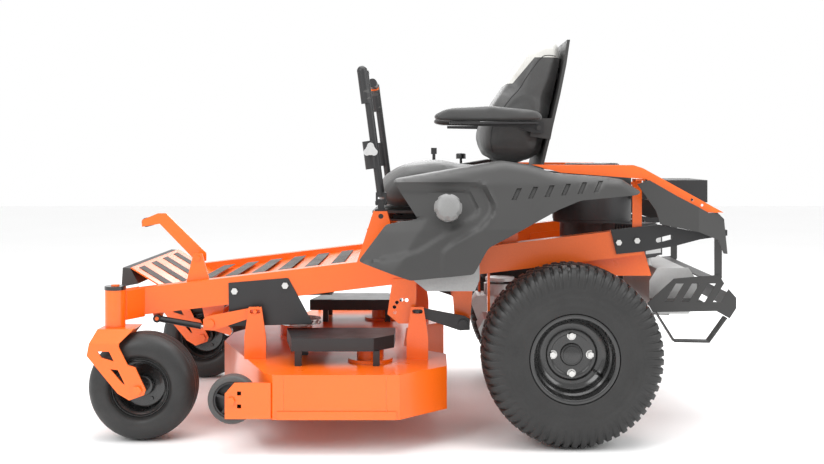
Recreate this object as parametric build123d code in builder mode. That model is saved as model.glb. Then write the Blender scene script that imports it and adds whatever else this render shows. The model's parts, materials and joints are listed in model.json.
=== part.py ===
"""Zero turn mower with a 52 inch mid-mounted deck.

Frame while modelling: x towards the rear, y towards the mower's right-hand side, z up, in millimetres,
with y = 0 on the centreline and z = 0 on the ground. write() moves each piece so that the origin is the
middle of the whole mower's footprint.
"""

from build123d import *
from math import atan, cos, degrees, hypot, radians, sin
import os

os.makedirs("parts", exist_ok=True)

# ---------------------------------------------------------------- driving dimensions
gap = 0.5  # between faces of different bodies
fit = 0.05  # radial running clearance of a shaft in its bore

# front casters
caster_x = -933  # swivel axis
caster_y = 470
trail = 91  # wheel axle behind the swivel axis
front_tyre_radius = 165
front_tyre_width = 140
front_rim_radius = 84
fork_wall = 6
fork_half_width = 88  # outer faces of the fork legs
kingpin_radius = 12.7
housing_radius = 31
housing_height = 111
front_axle_radius = 9.5

# rear wheels
rear_axle_x = 475
rear_tyre_radius = 274
rear_tyre_width = 250
rear_rim_radius = 134
rear_wheel_y = 520  # middle of the tyre
rim_wall = 4
lug_circle = 114.3
lug_count = 4
rear_axle_radius = 15

# frame rails: straight box tubes that rise towards the rear
rail_front = -895
rail_rear = 725
rail_low = 366  # underside at the front end
rail_height = 86
rail_slope = 0.1204
rail_outer_y = 385
rail_width = 50
rail_wall = 4

# cutting deck, in its raised position
blade_length = 457
blade_pitch_y = 431
side_blade_x = -142
mid_blade_x = -413
blade_room = 6  # from a blade's tip to the wall
deck_top_z = 235
deck_depth = 131
deck_wall = 5
deck_travel = 80
blade_z = 122
blade_thickness = 6
spindle_radius = 12.5
spindle_housing_radius = 42
spindle_pulley_radius = 72
spindle_low_z = 170
pulley_z = 286
scalp_radius = 72
scalp_width = 50
scalp_x = -537
scalp_z = 159
scalp_pin_radius = 8
bolt_head = 8
deck_shoulder_x = -443
shoulder_run = 28  # size of the chamfer between the front and side walls
shoulder_rise = 26
discharge_front_x = -390
discharge_rear_x = -70
cover_front_x = -417
cover_rear_x = -66
cover_outer_y = 540
cover_inner_y = 335
cover_low_z = 280
cover_top_z = 320
chute_pin_radius = 5
hinge_z = 250

# controls, seat and panels
lever_x = -111  # fore and aft pivot
lever_z = 683
lever_tube_radius = 12.7
handle_x = -172
handle_z = 1148
handle_length = 105
grip_radius = 17
knob_x = -141
knob_z = 894
seat_half_width = 230
cushion_half_width = 250
seat_pivot_x = -140
seat_pivot_z = 656
fender_outer_y = 600
fender_inner_y = 405
shelf_inner_y = 300
fender_wall = 6
facet_low_z = 650  # the side panel's outer face slopes inwards from here
facet_top_y = 548
facet_top_z = 790
shoulder_y = 505
cap_x = 100
cap_z = 712
cap_radius = 42
neck_radius = 30
pto_x = 164
pto_y = 345
pto_stem_radius = 5
throttle_x = 60
throttle_y = 345
throttle_pivot_z = 780
shell_rear_x = 418
shell_wall = 10
seat_back_rear = ((425, 848), (452, 960), (480, 1080), (500, 1180), (512, 1262))
arm_pivot_x = 405
arm_pivot_z = 968
arm_pin_radius = 8
pad_low_z = 986
pedal_x = -701
pedal_z = 547
pedal_bend_x = -830
pedal_bend_z = 670
pedal_peg_x = -882
pedal_peg_z = 658
pedal_y = 300
pedal_bracket_y = 352
pedal_pin_radius = 8

# engine
engine_x = 617
engine_plate_z = 488
engine_plate_thickness = 6
crank_radius = 14
tray_front = 430
tray_rear = 760
shroud_radius = 138
shroud_top_z = 806
clutch_radius = 70
guard_y = 330
bar_outer_y = 440
bar_inner_y = 404
bar_wall = 4
bar_holes = ((868, 738), (900, 721))
bar_hole_radius = 4.5

# brackets, shafts and struts of the deck lift
bracket_wall = 6
lift_angle = 31  # turn of the lift shafts over the deck's travel
shaft_radius = 14
front_shaft_x = -650
front_shaft_z = 345
rear_shaft_x = 150
rear_shaft_z = 345
lift_arm_y = 408  # middle of the arms
hanger_y = 420  # middle of the deck's hanger plates
strut_front_x = -826
strut_front_z = 356
strut_y = 374
strut_half_eye = 6
strut_pin_radius = 6
strut_tube = 130
strut_tube_radius = 10
strut_rod_radius = 5
strut_rear_x = -599
strut_rear_z = 316
height_plate_x = -44
height_plate_z = 392
floor_tube_height = 46
floor_tube_spans = ((-887, 44), (-560, 40), (-250, 40))
riser_front = -158
riser_rear = 330
seat_ear_y = 200
seat_pin_radius = 6
tower_outer_y = 384
tower_inner_y = 336
tower_wall = 6
lever_pin_radius = 8
transaxle_front = 200
transaxle_top_z = 352

# worked out
front_axle_x = caster_x + trail
front_axle_z = front_tyre_radius
rear_axle_z = rear_tyre_radius
fork_top_z = front_axle_z + 180
housing_low_z = fork_top_z + 4
housing_top_z = housing_low_z + housing_height
rail_inner_y = rail_outer_y - rail_width
riser_z = seat_pivot_z - 16
deck_low_z = deck_top_z - deck_depth
blade_radius = blade_length / 2
bowl_radius = blade_radius + blade_room + deck_wall  # outer face of the deck wall around a side blade
deck_half_width = blade_pitch_y + bowl_radius
deck_rear_x = side_blade_x + bowl_radius
deck_nose_x = mid_blade_x - bowl_radius - 12
plate_top_z = engine_plate_z + engine_plate_thickness
cylinder_low_z = plate_top_z + 33
tyre_front_x = front_axle_x - front_tyre_radius
guard_rear_x = 1037.5
chute_reach = 245
chute_outer_y = deck_half_width + chute_reach

blade_tip = blade_radius - 2
spindle_spots = ((side_blade_x, -blade_pitch_y), (mid_blade_x, 0), (side_blade_x, blade_pitch_y))
lift_arm = deck_travel / (2 * sin(radians(lift_angle / 2)))
lift_reach = lift_arm * cos(radians(lift_angle / 2))

mid_x = (tyre_front_x + guard_rear_x) / 2
mid_y = (chute_outer_y - deck_half_width - bolt_head) / 2
to_row = Location((-mid_x, -mid_y, 0))


# ---------------------------------------------------------------- helpers
def write(piece, label):
    """Moves a finished piece into the mower's own frame and writes it as one STEP file."""
    placed = piece.moved(to_row)
    placed.label = label
    export_step(placed, f"parts/{label}.step")


def write_pair(left_piece, label):
    """Writes a left-hand piece and its mirror image as two nodes."""
    write(left_piece, f"{label}_left")
    write(mirror(left_piece, about=Plane.XZ), f"{label}_right")


def shifted(outline, dx, dz):
    """An outline given about a local point, moved to that point."""
    return [(x + dx, z + dz) for x, z in outline]


def side_plate(outline, y_from, y_to, mode=Mode.ADD):
    """Extrudes an outline in x and z between two y positions, in the part being built."""
    with BuildSketch(Plane.XZ.offset(-y_to)) as profile:
        with BuildLine():
            Polyline(*outline, close=True)
        make_face()
    extrude(profile.sketch, amount=y_to - y_from, mode=mode)


def plan_plate(outline, z_from, z_to, mode=Mode.ADD):
    """Extrudes an outline in x and y between two heights, in the part being built."""
    with BuildSketch(Plane.XY.offset(z_from)) as profile:
        with BuildLine():
            Polyline(*outline, close=True)
        make_face()
    extrude(profile.sketch, amount=z_to - z_from, mode=mode)


def block(x_from, x_to, y_from, y_to, z_from, z_to, mode=Mode.ADD):
    """A box between two corners, in the part being built."""
    middle = ((x_from + x_to) / 2, (y_from + y_to) / 2, (z_from + z_to) / 2)
    with Locations(middle):
        Box(x_to - x_from, y_to - y_from, z_to - z_from, mode=mode)


def post(x, y, z_from, z_to, radius, mode=Mode.ADD):
    """An upright cylinder between two heights, in the part being built."""
    with Locations((x, y, (z_from + z_to) / 2)):
        Cylinder(radius, z_to - z_from, mode=mode)


def cross_pin(x, z, y_from, y_to, radius, mode=Mode.ADD):
    """A cylinder along y between two positions, in the part being built."""
    with Locations(Location((x, (y_from + y_to) / 2, z), (90, 0, 0))):
        Cylinder(radius, y_to - y_from, mode=mode)


def hex_head(x, z, y_from, y_to, across_flats, mode=Mode.ADD):
    """A hexagon bolt head or nut along y, in the part being built."""
    with BuildSketch(Plane.XZ.offset(-y_to)) as profile:
        with Locations((x, z)):
            RegularPolygon(across_flats / 2, 6, major_radius=False)
    extrude(profile.sketch, amount=y_to - y_from, mode=mode)


def revolved(section, x, z):
    """A ring turned about the cross axis through (x, z), from a section of (y, radius) points."""
    with BuildPart() as ring:
        with BuildSketch(Plane.YZ.offset(x)):
            with BuildLine():
                Polyline(*[(y, z + r) for y, r in section], close=True)
            make_face()
        revolve(axis=Axis((x, 0, z), (0, 1, 0)))
    return ring.part


def rail_z(x):
    """Height of the rail's underside at x."""
    return rail_low + rail_slope * (x - rail_front)


def lift_top_z(shaft_z):
    """Height of a lift arm's pin with the deck raised."""
    return shaft_z + deck_travel / 2


def joined(*builders):
    """The solids of several parts as one piece, each solid kept separate."""
    return Compound(children=[solid for builder in builders for solid in builder.part.solids()])


# ---------------------------------------------------------------- frame
def build_rails():
    """Two straight box tubes, left and right."""
    ends = [(rail_front, rail_z(rail_front)), (rail_rear, rail_z(rail_rear))]
    outer = [*ends, (rail_rear, ends[1][1] + rail_height), (rail_front, ends[0][1] + rail_height)]
    inner = [
        (rail_front - 10, rail_z(rail_front - 10) + rail_wall),
        (rail_rear + 10, rail_z(rail_rear + 10) + rail_wall),
        (rail_rear + 10, rail_z(rail_rear + 10) + rail_height - rail_wall),
        (rail_front - 10, rail_z(rail_front - 10) + rail_height - rail_wall),
    ]
    with BuildPart() as rails:
        side_plate(outer, -rail_outer_y, -rail_inner_y)
        side_plate(inner, rail_wall - rail_outer_y, -rail_inner_y - rail_wall, Mode.SUBTRACT)
        mirror(about=Plane.XZ)
    write(rails.part, "frame_rails")


def build_caster_housings():
    """Upright tubes at the front corners with their arms to the rails and two bearings each."""
    arm_low = rail_low - 2
    arm_high = rail_low + rail_height + 2
    bearing_height = 16
    bearing_outer = housing_radius - 8.1
    arm = [
        (rail_front + 32, -rail_outer_y),
        (rail_front - 4, -caster_y + 10),
        (caster_x + 8, -caster_y + 8),
        (caster_x + 8, -rail_outer_y - 12),
        (rail_front, -rail_inner_y),
        (rail_front, -rail_outer_y),
    ]
    with BuildPart() as arms:
        plan_plate(arm, arm_low, arm_high)
        post(caster_x, -caster_y, arm_low - 10, arm_high + 10, housing_radius, Mode.SUBTRACT)
        mirror(about=Plane.XZ)
    with BuildPart() as housings:
        post(caster_x, -caster_y, housing_low_z, housing_top_z, housing_radius)
        post(caster_x, -caster_y, housing_low_z, housing_top_z, housing_radius - 8, Mode.SUBTRACT)
        for low in (housing_low_z, housing_top_z - bearing_height):
            post(caster_x, -caster_y, low, low + bearing_height, bearing_outer)
            post(caster_x, -caster_y, low, low + bearing_height, kingpin_radius + fit, Mode.SUBTRACT)
        mirror(about=Plane.XZ)
    write(joined(arms, housings), "caster_housings")


def pedal_stand():
    """Plate on the left rail that holds the pedal's pin."""
    x, z = pedal_x, pedal_z
    with BuildPart() as stand:
        side_plate(
            [
                (x - 36, rail_z(x - 36) + rail_height), (x + 36, rail_z(x + 36) + rail_height),
                (x + 14, z + 14), (x - 14, z + 14),
            ],
            -pedal_bracket_y - 4, -pedal_bracket_y + 4,
        )
        cross_pin(x, z, -pedal_bracket_y - 4, -pedal_bracket_y + 4, pedal_pin_radius + fit, Mode.SUBTRACT)
    return stand


def build_crossmembers():
    """Tubes and folded plates between the rails: nose tube, floor tubes, seat riser and engine tray."""
    inner = rail_inner_y
    with BuildPart() as cross:
        for x, width in floor_tube_spans:
            low = rail_z(x) + 8
            block(x, x + width, -inner, inner, low, low + floor_tube_height)
            block(
                x + rail_wall, x + width - rail_wall, -inner, inner,
                low + rail_wall, low + floor_tube_height - rail_wall, Mode.SUBTRACT,
            )
    write(joined(cross, pedal_stand()), "floor_tubes")
    with BuildPart() as riser:
        # a folded plate that stands between the rails, with two ears for the seat's hinge pin
        block(riser_front, riser_rear, -inner, inner, riser_z - 5, riser_z)
        for side in (-1, 1):
            wall_y = sorted((side * inner, side * (inner - 5)))
            side_plate(
                [
                    (riser_front, rail_z(riser_front) + 30),
                    (riser_rear, rail_z(riser_rear) + 30),
                    (riser_rear, riser_z - 5),
                    (riser_front, riser_z - 5),
                ],
                *wall_y,
            )
            ear_y = sorted((side * seat_ear_y, side * (seat_ear_y + 8)))
            block(seat_pivot_x - 12, seat_pivot_x + 12, *ear_y, riser_z, seat_pivot_z + 14)
        cross_pin(seat_pivot_x, seat_pivot_z, -inner, inner, seat_pin_radius + fit, Mode.SUBTRACT)
    with BuildPart() as towers:
        # two upright plates on each rail that carry a steering lever between them
        outline = [
            (lever_x - 76, rail_z(lever_x - 76) + rail_height),
            (lever_x + 58, rail_z(lever_x + 58) + rail_height),
            (lever_x + 20, lever_z + 16),
            (lever_x - 24, lever_z + 16),
        ]
        side_plate(outline, -tower_outer_y, tower_wall - tower_outer_y)
        side_plate(outline, -tower_inner_y - tower_wall, -tower_inner_y)
        cross_pin(lever_x, lever_z, -tower_outer_y, -tower_inner_y, lever_pin_radius + fit, Mode.SUBTRACT)
        mirror(about=Plane.XZ)
    write(joined(riser, towers), "seat_riser")
    with BuildPart() as tray:
        # a plate with folded sides bolted inside the rails
        block(tray_front, tray_rear, -inner, inner, engine_plate_z, plate_top_z)
        post(engine_x, 0, engine_plate_z, plate_top_z, 60, Mode.SUBTRACT)
        for side in (-1, 1):
            wall_y = sorted((side * inner, side * (inner - 5)))
            side_plate(
                [
                    (tray_front, plate_top_z),
                    (tray_rear, plate_top_z),
                    (rail_rear, rail_z(rail_rear) + 50),
                    (tray_front, rail_z(tray_front) + 50),
                ],
                *wall_y,
            )
    write(tray.part, "engine_tray")


def build_hangers():
    """Brackets under the rails for the lift shafts, gas struts and transaxles, and the height plates."""
    inside = rail_outer_y - 25
    with BuildPart() as brackets:
        for x, z in ((front_shaft_x, front_shaft_z), (rear_shaft_x, rear_shaft_z)):
            side_plate(
                [
                    (x - 36, rail_z(x - 36)), (x - 24, z - 10), (x - 10, z - 24), (x + 10, z - 24),
                    (x + 24, z - 10), (x + 36, rail_z(x + 36)),
                ],
                -inside, bracket_wall - inside,
            )
            cross_pin(x, z, -inside, bracket_wall - inside, shaft_radius + fit, Mode.SUBTRACT)
        for x in (transaxle_front + 30, transaxle_front + 310):
            block(x, x + 8, 20 - rail_outer_y, -rail_inner_y, transaxle_top_z, rail_z(x))
        mirror(about=Plane.XZ)
    with BuildPart() as anchors:
        # the eye that each gas strut pushes against
        side_plate(
            [
                (strut_front_x - 18, rail_z(strut_front_x - 18)), (strut_front_x - 10, strut_front_z - 12),
                (strut_front_x + 10, strut_front_z - 12), (strut_front_x + 18, rail_z(strut_front_x + 18)),
            ],
            -strut_y + strut_tube_radius + 1, -strut_y + strut_tube_radius + 7,
        )
        cross_pin(
            strut_front_x, strut_front_z, -strut_y - strut_half_eye - 3, -strut_y + strut_tube_radius + 1,
            strut_pin_radius,
        )
        mirror(about=Plane.XZ)
    with BuildPart() as plates:
        # height-of-cut plates with their rows of holes, bolted to the outside of the rails
        x, z = height_plate_x, height_plate_z
        side_plate(
            [(x - 46, z - 20), (x - 10, z - 50), (x + 30, z - 50), (x + 46, z + 20), (x + 46, z + 92),
                (x - 30, z + 92)],
            -rail_outer_y - bracket_wall, -rail_outer_y,
        )
        for spot in range(5):
            angle = radians(200 - 32 * spot)
            cross_pin(
                x + 6 + 30 * cos(angle), z + 30 * sin(angle) - 4,
                -rail_outer_y - bracket_wall, -rail_outer_y, 6, Mode.SUBTRACT,
            )
        mirror(about=Plane.XZ)
    write(joined(brackets, anchors, plates), "hanger_brackets")


def build_platform():
    """Foot platform: a floor that follows the rails and a toe board that turns up at the front."""
    inner = rail_inner_y - gap
    thick = 4
    lift = 70
    toe_x, toe_z = -920, 515
    knee_x = -790
    rear_x = riser_front - 2
    floor = [
        (rear_x, rail_z(rear_x) + lift),
        (knee_x, rail_z(knee_x) + lift - 14),
        (toe_x, toe_z),
        (toe_x - 3, toe_z - 3),
        (knee_x - 2, rail_z(knee_x) + lift - 14 - thick),
        (rear_x, rail_z(rear_x) + lift - thick),
    ]
    with BuildPart() as platform:
        side_plate(floor, -inner, inner)
    write(platform.part, "foot_platform")
    nose = [(-952, 452), (-898, 462), (toe_x - 3 - gap, toe_z - 3), (-948, 514)]
    inside = [(-946, 458), (-904, 465), (-927, 504), (-942, 506)]
    with BuildPart() as panel:
        side_plate(nose, -inner, inner)
        side_plate(inside, 5 - inner, inner - 5, Mode.SUBTRACT)
    write(panel.part, "nose_panel")


def build_steps():
    """Boarding step plates bolted to the outside of the rails."""
    plate = [(-596, 471), (-406, 487), (-328, 343), (-594, 337)]
    with BuildPart() as steps:
        side_plate(plate, -rail_outer_y - 4, -rail_outer_y)
        fillet(steps.edges().filter_by(Axis.Y).group_by(Axis.Z)[-1], 8)
        side_plate([(-594, 337), (-328, 343), (-332, 339), (-590, 333)], -rail_outer_y, -rail_outer_y + 46)
        mirror(about=Plane.XZ)
    with BuildPart() as bolts:
        for x, z in ((-576, 445), (-415, 463)):
            hex_head(x, z, -rail_outer_y - 12, -rail_outer_y - 4, 19)
        mirror(about=Plane.XZ)
    write(joined(steps, bolts), "side_steps")


build_rails()
build_caster_housings()
build_crossmembers()
build_hangers()
build_platform()
build_steps()


# ---------------------------------------------------------------- front casters
def build_caster():
    """Fork with kingpin, dust cap and axle; rim and tyre of one front wheel, left-hand."""
    outline = [
        (-131, 180), (-20, 180), (-55, 142), (-56, 132), (-29, 77), (-6, 70),
        (26, 2), (21, -14), (-24, -30), (-59, -9), (-153, 105), (-146, 142),
    ]
    windows = (
        [(-121, 118), (-85, 118), (-70, 88), (-108, 99)],
        [(-82, 65), (-58, 62), (-36, 17), (-43, 20)],
    )
    half = fork_half_width
    shoulder = half - 36
    wall = fork_wall
    top, bend, foot = 180, 142, -40
    section = [
        (-shoulder, top), (shoulder, top), (half, bend), (half, foot), (half - wall, foot),
        (half - wall, bend - 3), (shoulder - 3, top - wall), (3 - shoulder, top - wall),
        (wall - half, bend - 3), (wall - half, foot), (-half, foot), (-half, bend),
    ]
    with BuildPart() as fork:
        with BuildSketch(Plane.YZ.offset(front_axle_x - 160)):
            with BuildLine():
                Polyline(*[(y - caster_y, z + front_axle_z) for y, z in section], close=True)
            make_face()
        extrude(amount=200)
        side_plate(
            shifted(outline, front_axle_x, front_axle_z),
            -caster_y - half - 1, -caster_y + half + 1, Mode.INTERSECT,
        )
        for window in windows:
            side_plate(
                shifted(window, front_axle_x, front_axle_z),
                -caster_y - half - 1, -caster_y + half + 1, Mode.SUBTRACT,
            )
        cross_pin(
            front_axle_x, front_axle_z, -caster_y - half - 1, -caster_y + half + 1,
            front_axle_radius, Mode.SUBTRACT,
        )
        post(caster_x, -caster_y, fork_top_z, housing_low_z - gap, housing_radius - 1)
        post(caster_x, -caster_y, fork_top_z, housing_top_z + 16, kingpin_radius)
    with BuildPart() as hardware:
        cross_pin(front_axle_x, front_axle_z, -caster_y - half, -caster_y + half, front_axle_radius)
        for side in (-1, 1):
            ends = sorted((-caster_y + side * half, -caster_y + side * (half + 9)))
            hex_head(front_axle_x, front_axle_z, *ends, 27)
        post(caster_x, -caster_y, housing_top_z + gap, housing_top_z + 12, housing_radius + 2)
        post(caster_x, -caster_y, housing_top_z + gap, housing_top_z + 12, kingpin_radius, Mode.SUBTRACT)
    write_pair(joined(fork, hardware), "caster_fork")


def build_front_wheel():
    """Pressed steel rim with a hub tube, and a smooth pneumatic tyre."""
    half = front_tyre_width / 2
    flange = front_rim_radius
    hub = [
        (-76, front_axle_radius + fit), (76, front_axle_radius + fit), (76, 20), (20, 20), (20, 24),
        (4, 30), (4, flange - 18), (44, flange - 12), (50, flange), (54, flange), (54, flange + 4),
        (46, flange + 4), (40, flange - 8), (0, flange - 14), (-40, flange - 8), (-46, flange + 4),
        (-54, flange + 4), (-54, flange), (-50, flange), (-44, flange - 12), (-2, flange - 18),
        (-2, 30), (-20, 24), (-20, 20), (-76, 20),
    ]
    crown = front_tyre_radius
    tyre = [
        (-46.3, flange + 4.3), (-56, flange + 5), (-half + 4, flange + 22), (-half, crown - 48),
        (-half + 3, crown - 30),
        (-half + 14, crown - 12), (-half + 34, crown - 2), (0, crown), (half - 34, crown - 2),
        (half - 14, crown - 12),
        (half - 3, crown - 30), (half, crown - 48), (half - 4, flange + 22), (56, flange + 5),
        (46.3, flange + 4.3),
        (42, flange + 8), (half - 14, flange + 22), (half - 10, crown - 46), (half - 20, crown - 20),
        (0, crown - 12),
        (-half + 20, crown - 20), (-half + 10, crown - 46), (-half + 14, flange + 22), (-42, flange + 8),
    ]
    rim_part = revolved([(y - caster_y, r) for y, r in hub], front_axle_x, front_axle_z)
    tyre_part = revolved([(y - caster_y, r) for y, r in tyre], front_axle_x, front_axle_z)
    write_pair(rim_part, "front_rim")
    write_pair(tyre_part, "front_tyre")


build_caster()
build_front_wheel()


# ---------------------------------------------------------------- rear drive
def build_rear_wheel():
    """Deep-dish rim, ribbed turf tyre and the hub with its lug bolts, left-hand."""
    half = rear_tyre_width / 2
    flange = rear_rim_radius
    disc_y = -34  # outer face of the wheel disc, from the middle of the tyre
    seat = flange - 10
    well = flange - 22
    rim = [
        (-120, flange), (-112, flange), (-112, seat), (-78, seat - 2), (-70, well), (60, well),
        (70, seat - 2), (112, seat), (112, flange), (120, flange), (120, seat - 4), (72, seat - 6),
        (64, well - rim_wall), (disc_y + rim_wall, well - rim_wall), (disc_y + rim_wall, 33),
        (disc_y, 33), (disc_y, well - rim_wall - 14), (disc_y - 10, well - rim_wall),
        (-72, well - rim_wall),
        (-80, seat - 6), (-120, seat - 4),
    ]
    crown = rear_tyre_radius
    tyre = [
        (-111, flange + 0.4), (-121, flange + 1), (-half + 2, flange + 26), (-half, crown - 70),
        (-half + 3, crown - 40),
        (-half + 12, crown - 18), (-half + 30, crown - 5), (0, crown), (half - 30, crown - 5),
        (half - 12, crown - 18),
        (half - 3, crown - 40), (half, crown - 70), (half - 2, flange + 26), (121, flange + 1),
        (111, flange + 0.4),
        (108, flange + 10), (half - 12, flange + 30), (half - 10, crown - 66), (half - 22, crown - 30),
        (0, crown - 18),
        (-half + 22, crown - 30), (-half + 10, crown - 66), (-half + 12, flange + 30), (-108, flange + 10),
    ]
    y = -rear_wheel_y
    rim_part = revolved([(y + dy, r) for dy, r in rim], rear_axle_x, rear_axle_z)
    with BuildPart() as drilled:
        add(rim_part)
        for spot in range(lug_count):
            angle = radians(360 * spot / lug_count)
            x = rear_axle_x + lug_circle / 2 * cos(angle)
            z = rear_axle_z + lug_circle / 2 * sin(angle)
            cross_pin(x, z, y + disc_y - 20, y + disc_y + 20, 7, Mode.SUBTRACT)
    write_pair(revolved([(y + dy, r) for dy, r in tyre], rear_axle_x, rear_axle_z), "rear_tyre")
    face = y + disc_y
    with BuildPart() as hub:
        cross_pin(rear_axle_x, rear_axle_z, face + rim_wall, face + rim_wall + 10, 72)
        cross_pin(rear_axle_x, rear_axle_z, face - 6, face + rim_wall, 32.5)
        cross_pin(rear_axle_x, rear_axle_z, face - 16, face - 6, 27)
        cross_pin(rear_axle_x, rear_axle_z, face + rim_wall + 10, face + rim_wall + 40, 34)
        cross_pin(rear_axle_x, rear_axle_z, face + rim_wall + 40, -rail_outer_y + 20, rear_axle_radius)
        for spot in range(lug_count):
            angle = radians(360 * spot / lug_count)
            x = rear_axle_x + lug_circle / 2 * cos(angle)
            z = rear_axle_z + lug_circle / 2 * sin(angle)
            cross_pin(x, z, face, face + rim_wall, 6.5)
            hex_head(x, z, face - 12, face, 19)
    write_pair(joined(drilled, hub), "rear_rim")


def build_transaxles():
    """Left and right hydrostatic transaxles: gear case, pump head, input pulley and axle horn."""
    out = rail_outer_y + 5
    front = transaxle_front
    top = transaxle_top_z
    with BuildPart() as units:
        side_plate(
            [
                (front + 30, 240), (front + 80, 196), (front + 300, 180), (front + 350, 230),
                (front + 350, top - 20), (front + 330, top), (front + 20, top), (front, top - 32),
            ],
            -out + 30, -210,
        )
        cross_pin(rear_axle_x, rear_axle_z, -out - 8, -out + 30, 46)
        post(front + 110, -280, top, top + 40, 60)
        post(front + 110, -280, top + 40, top + 50, 16)
        post(front + 110, -280, top + 50, top + 62, 55)
        cross_pin(rear_axle_x, rear_axle_z, -out - 20, -rail_outer_y + 22, rear_axle_radius + fit,
            Mode.SUBTRACT)
        mirror(about=Plane.XZ)
    write(units.part, "transaxles")


build_rear_wheel()
build_transaxles()


# ---------------------------------------------------------------- cutting deck
def deck_outline(inset=0):
    """The deck's plan outline, symmetric about y = 0, drawn in by an inset."""
    side = deck_half_width - inset
    rear = deck_rear_x - inset
    nose = deck_nose_x + inset
    octagon = bowl_radius * 0.4142
    half = [
        (nose, 0),
        (nose, -90),
        (deck_shoulder_x + inset, -side + shoulder_rise),
        (deck_shoulder_x + shoulder_run + inset, -side),
        (side_blade_x + octagon, -side),
        (rear, -blade_pitch_y - octagon),
        (rear, -blade_pitch_y + octagon),
        (side_blade_x + octagon - inset, -blade_pitch_y + bowl_radius - inset),
    ]
    return half + [(x, -y) for x, y in reversed(half[1:])]


def build_deck_shell():
    """Flat top plate with an upright wall around it, open below and at the discharge."""
    with BuildPart() as top:
        plan_plate(deck_outline(), deck_top_z - deck_wall, deck_top_z)
        for x, y in spindle_spots:
            post(x, y, deck_top_z - deck_wall, deck_top_z, spindle_housing_radius, Mode.SUBTRACT)
    with BuildPart() as skirt:
        plan_plate(deck_outline(), deck_low_z, deck_top_z - deck_wall)
        plan_plate(deck_outline(deck_wall), deck_low_z, deck_top_z - deck_wall, Mode.SUBTRACT)
        block(
            discharge_front_x, discharge_rear_x, deck_half_width - 40, deck_half_width + 10,
            deck_low_z, deck_top_z - deck_wall, Mode.SUBTRACT,
        )
        # cut the wall into near-flat runs so that each is a simple piece
        for x in (deck_shoulder_x + 60, side_blade_x + 60):
            block(x, x + 0.4, -deck_half_width - 10, deck_half_width + 10, deck_low_z, deck_top_z,
                Mode.SUBTRACT)
        block(deck_nose_x - 10, deck_nose_x + 60, -60, -59.6, deck_low_z, deck_top_z, Mode.SUBTRACT)
    write(joined(top, skirt), "deck_shell")


def hanger(x, top_z):
    """A hanger plate on the deck with a slot for the pin of a lift arm, left-hand."""
    y_from = -hanger_y - 4
    y_to = -hanger_y + 4
    with BuildPart() as plate:
        side_plate(
            [
                (x - 34, deck_top_z), (x + 34, deck_top_z), (x + 34, deck_top_z + 70), (x + 20, top_z + 14),
                (x - 20, top_z + 14), (x - 34, deck_top_z + 70),
            ],
            y_from, y_to,
        )
        with BuildSketch(Plane.XZ.offset(-y_to)) as slot:
            with Locations((x, top_z)):
                SlotOverall(34, 2 * strut_pin_radius + 2 * gap)
        extrude(slot.sketch, amount=y_to - y_from, mode=Mode.SUBTRACT)
    return plate


def chute_ears():
    """The two ears on the deck that hold the chute's hinge pin."""
    y0 = deck_half_width + 12
    front = discharge_front_x - 10
    rear = discharge_rear_x + 10
    with BuildPart() as ears:
        for x in (front - 16, rear + 8):
            block(x, x + 8, deck_half_width - 20, y0 + 10, deck_top_z, hinge_z + 10)
        with Locations(Location(((front + rear) / 2, y0, hinge_z), (0, 90, 0))):
            Cylinder(chute_pin_radius + fit, rear - front + 60, mode=Mode.SUBTRACT)
    return ears


def build_deck_brackets():
    """Spindle housings, hanger plates, wear strip and the plates that hold the anti-scalp wheels."""
    with BuildPart() as housings:
        for x, y in spindle_spots:
            post(x, y, deck_top_z, deck_top_z + 8, spindle_housing_radius + 28)
            post(x, y, spindle_low_z, deck_top_z + 38, spindle_housing_radius)
            post(x, y, spindle_low_z, deck_top_z + 38, spindle_radius + fit, Mode.SUBTRACT)
    hangers = [
        hanger(front_shaft_x + lift_reach, lift_top_z(front_shaft_z)),
        hanger(rear_shaft_x - lift_reach, lift_top_z(rear_shaft_z)),
    ]
    with BuildPart() as right_hangers:
        for piece in hangers:
            add(mirror(piece.part, about=Plane.XZ, mode=Mode.PRIVATE))
    with BuildPart() as scalp_plates:
        side = deck_half_width
        plate_rear = deck_shoulder_x + shoulder_run * (1 - deck_wall / shoulder_rise)
        side_plate(
            [
                (plate_rear, deck_low_z + 2), (plate_rear, deck_low_z + 108),
                (scalp_x + 10, deck_low_z + 108), (scalp_x - 18, deck_low_z + 76),
                (scalp_x - 18, deck_low_z + 2),
            ],
            -side, deck_wall - side,
        )
        cross_pin(scalp_x, scalp_z, deck_wall - side, deck_wall - side + scalp_width + 6, scalp_pin_radius)
        hex_head(scalp_x, scalp_z, -side - bolt_head, -side, 22)
        nut_y = deck_wall - side + scalp_width + 6
        hex_head(scalp_x, scalp_z, nut_y, nut_y + bolt_head, 22)
        for dx, dz in ((18, -22), (18, 16)):
            block(
                scalp_x + dx, scalp_x + dx + 12, -side - 1, deck_wall - side + 1,
                scalp_z + dz, scalp_z + dz + 12, Mode.SUBTRACT,
            )
        mirror(about=Plane.XZ)
    with BuildPart() as strips:
        # bolted wear strip along the bottom of the left wall
        block(
            deck_shoulder_x + 40, side_blade_x + 90, -deck_half_width - 4, -deck_half_width,
            deck_low_z, deck_low_z + 24,
        )
    write(joined(housings, *hangers, right_hangers, scalp_plates, strips, chute_ears()), "deck_brackets")


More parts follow.
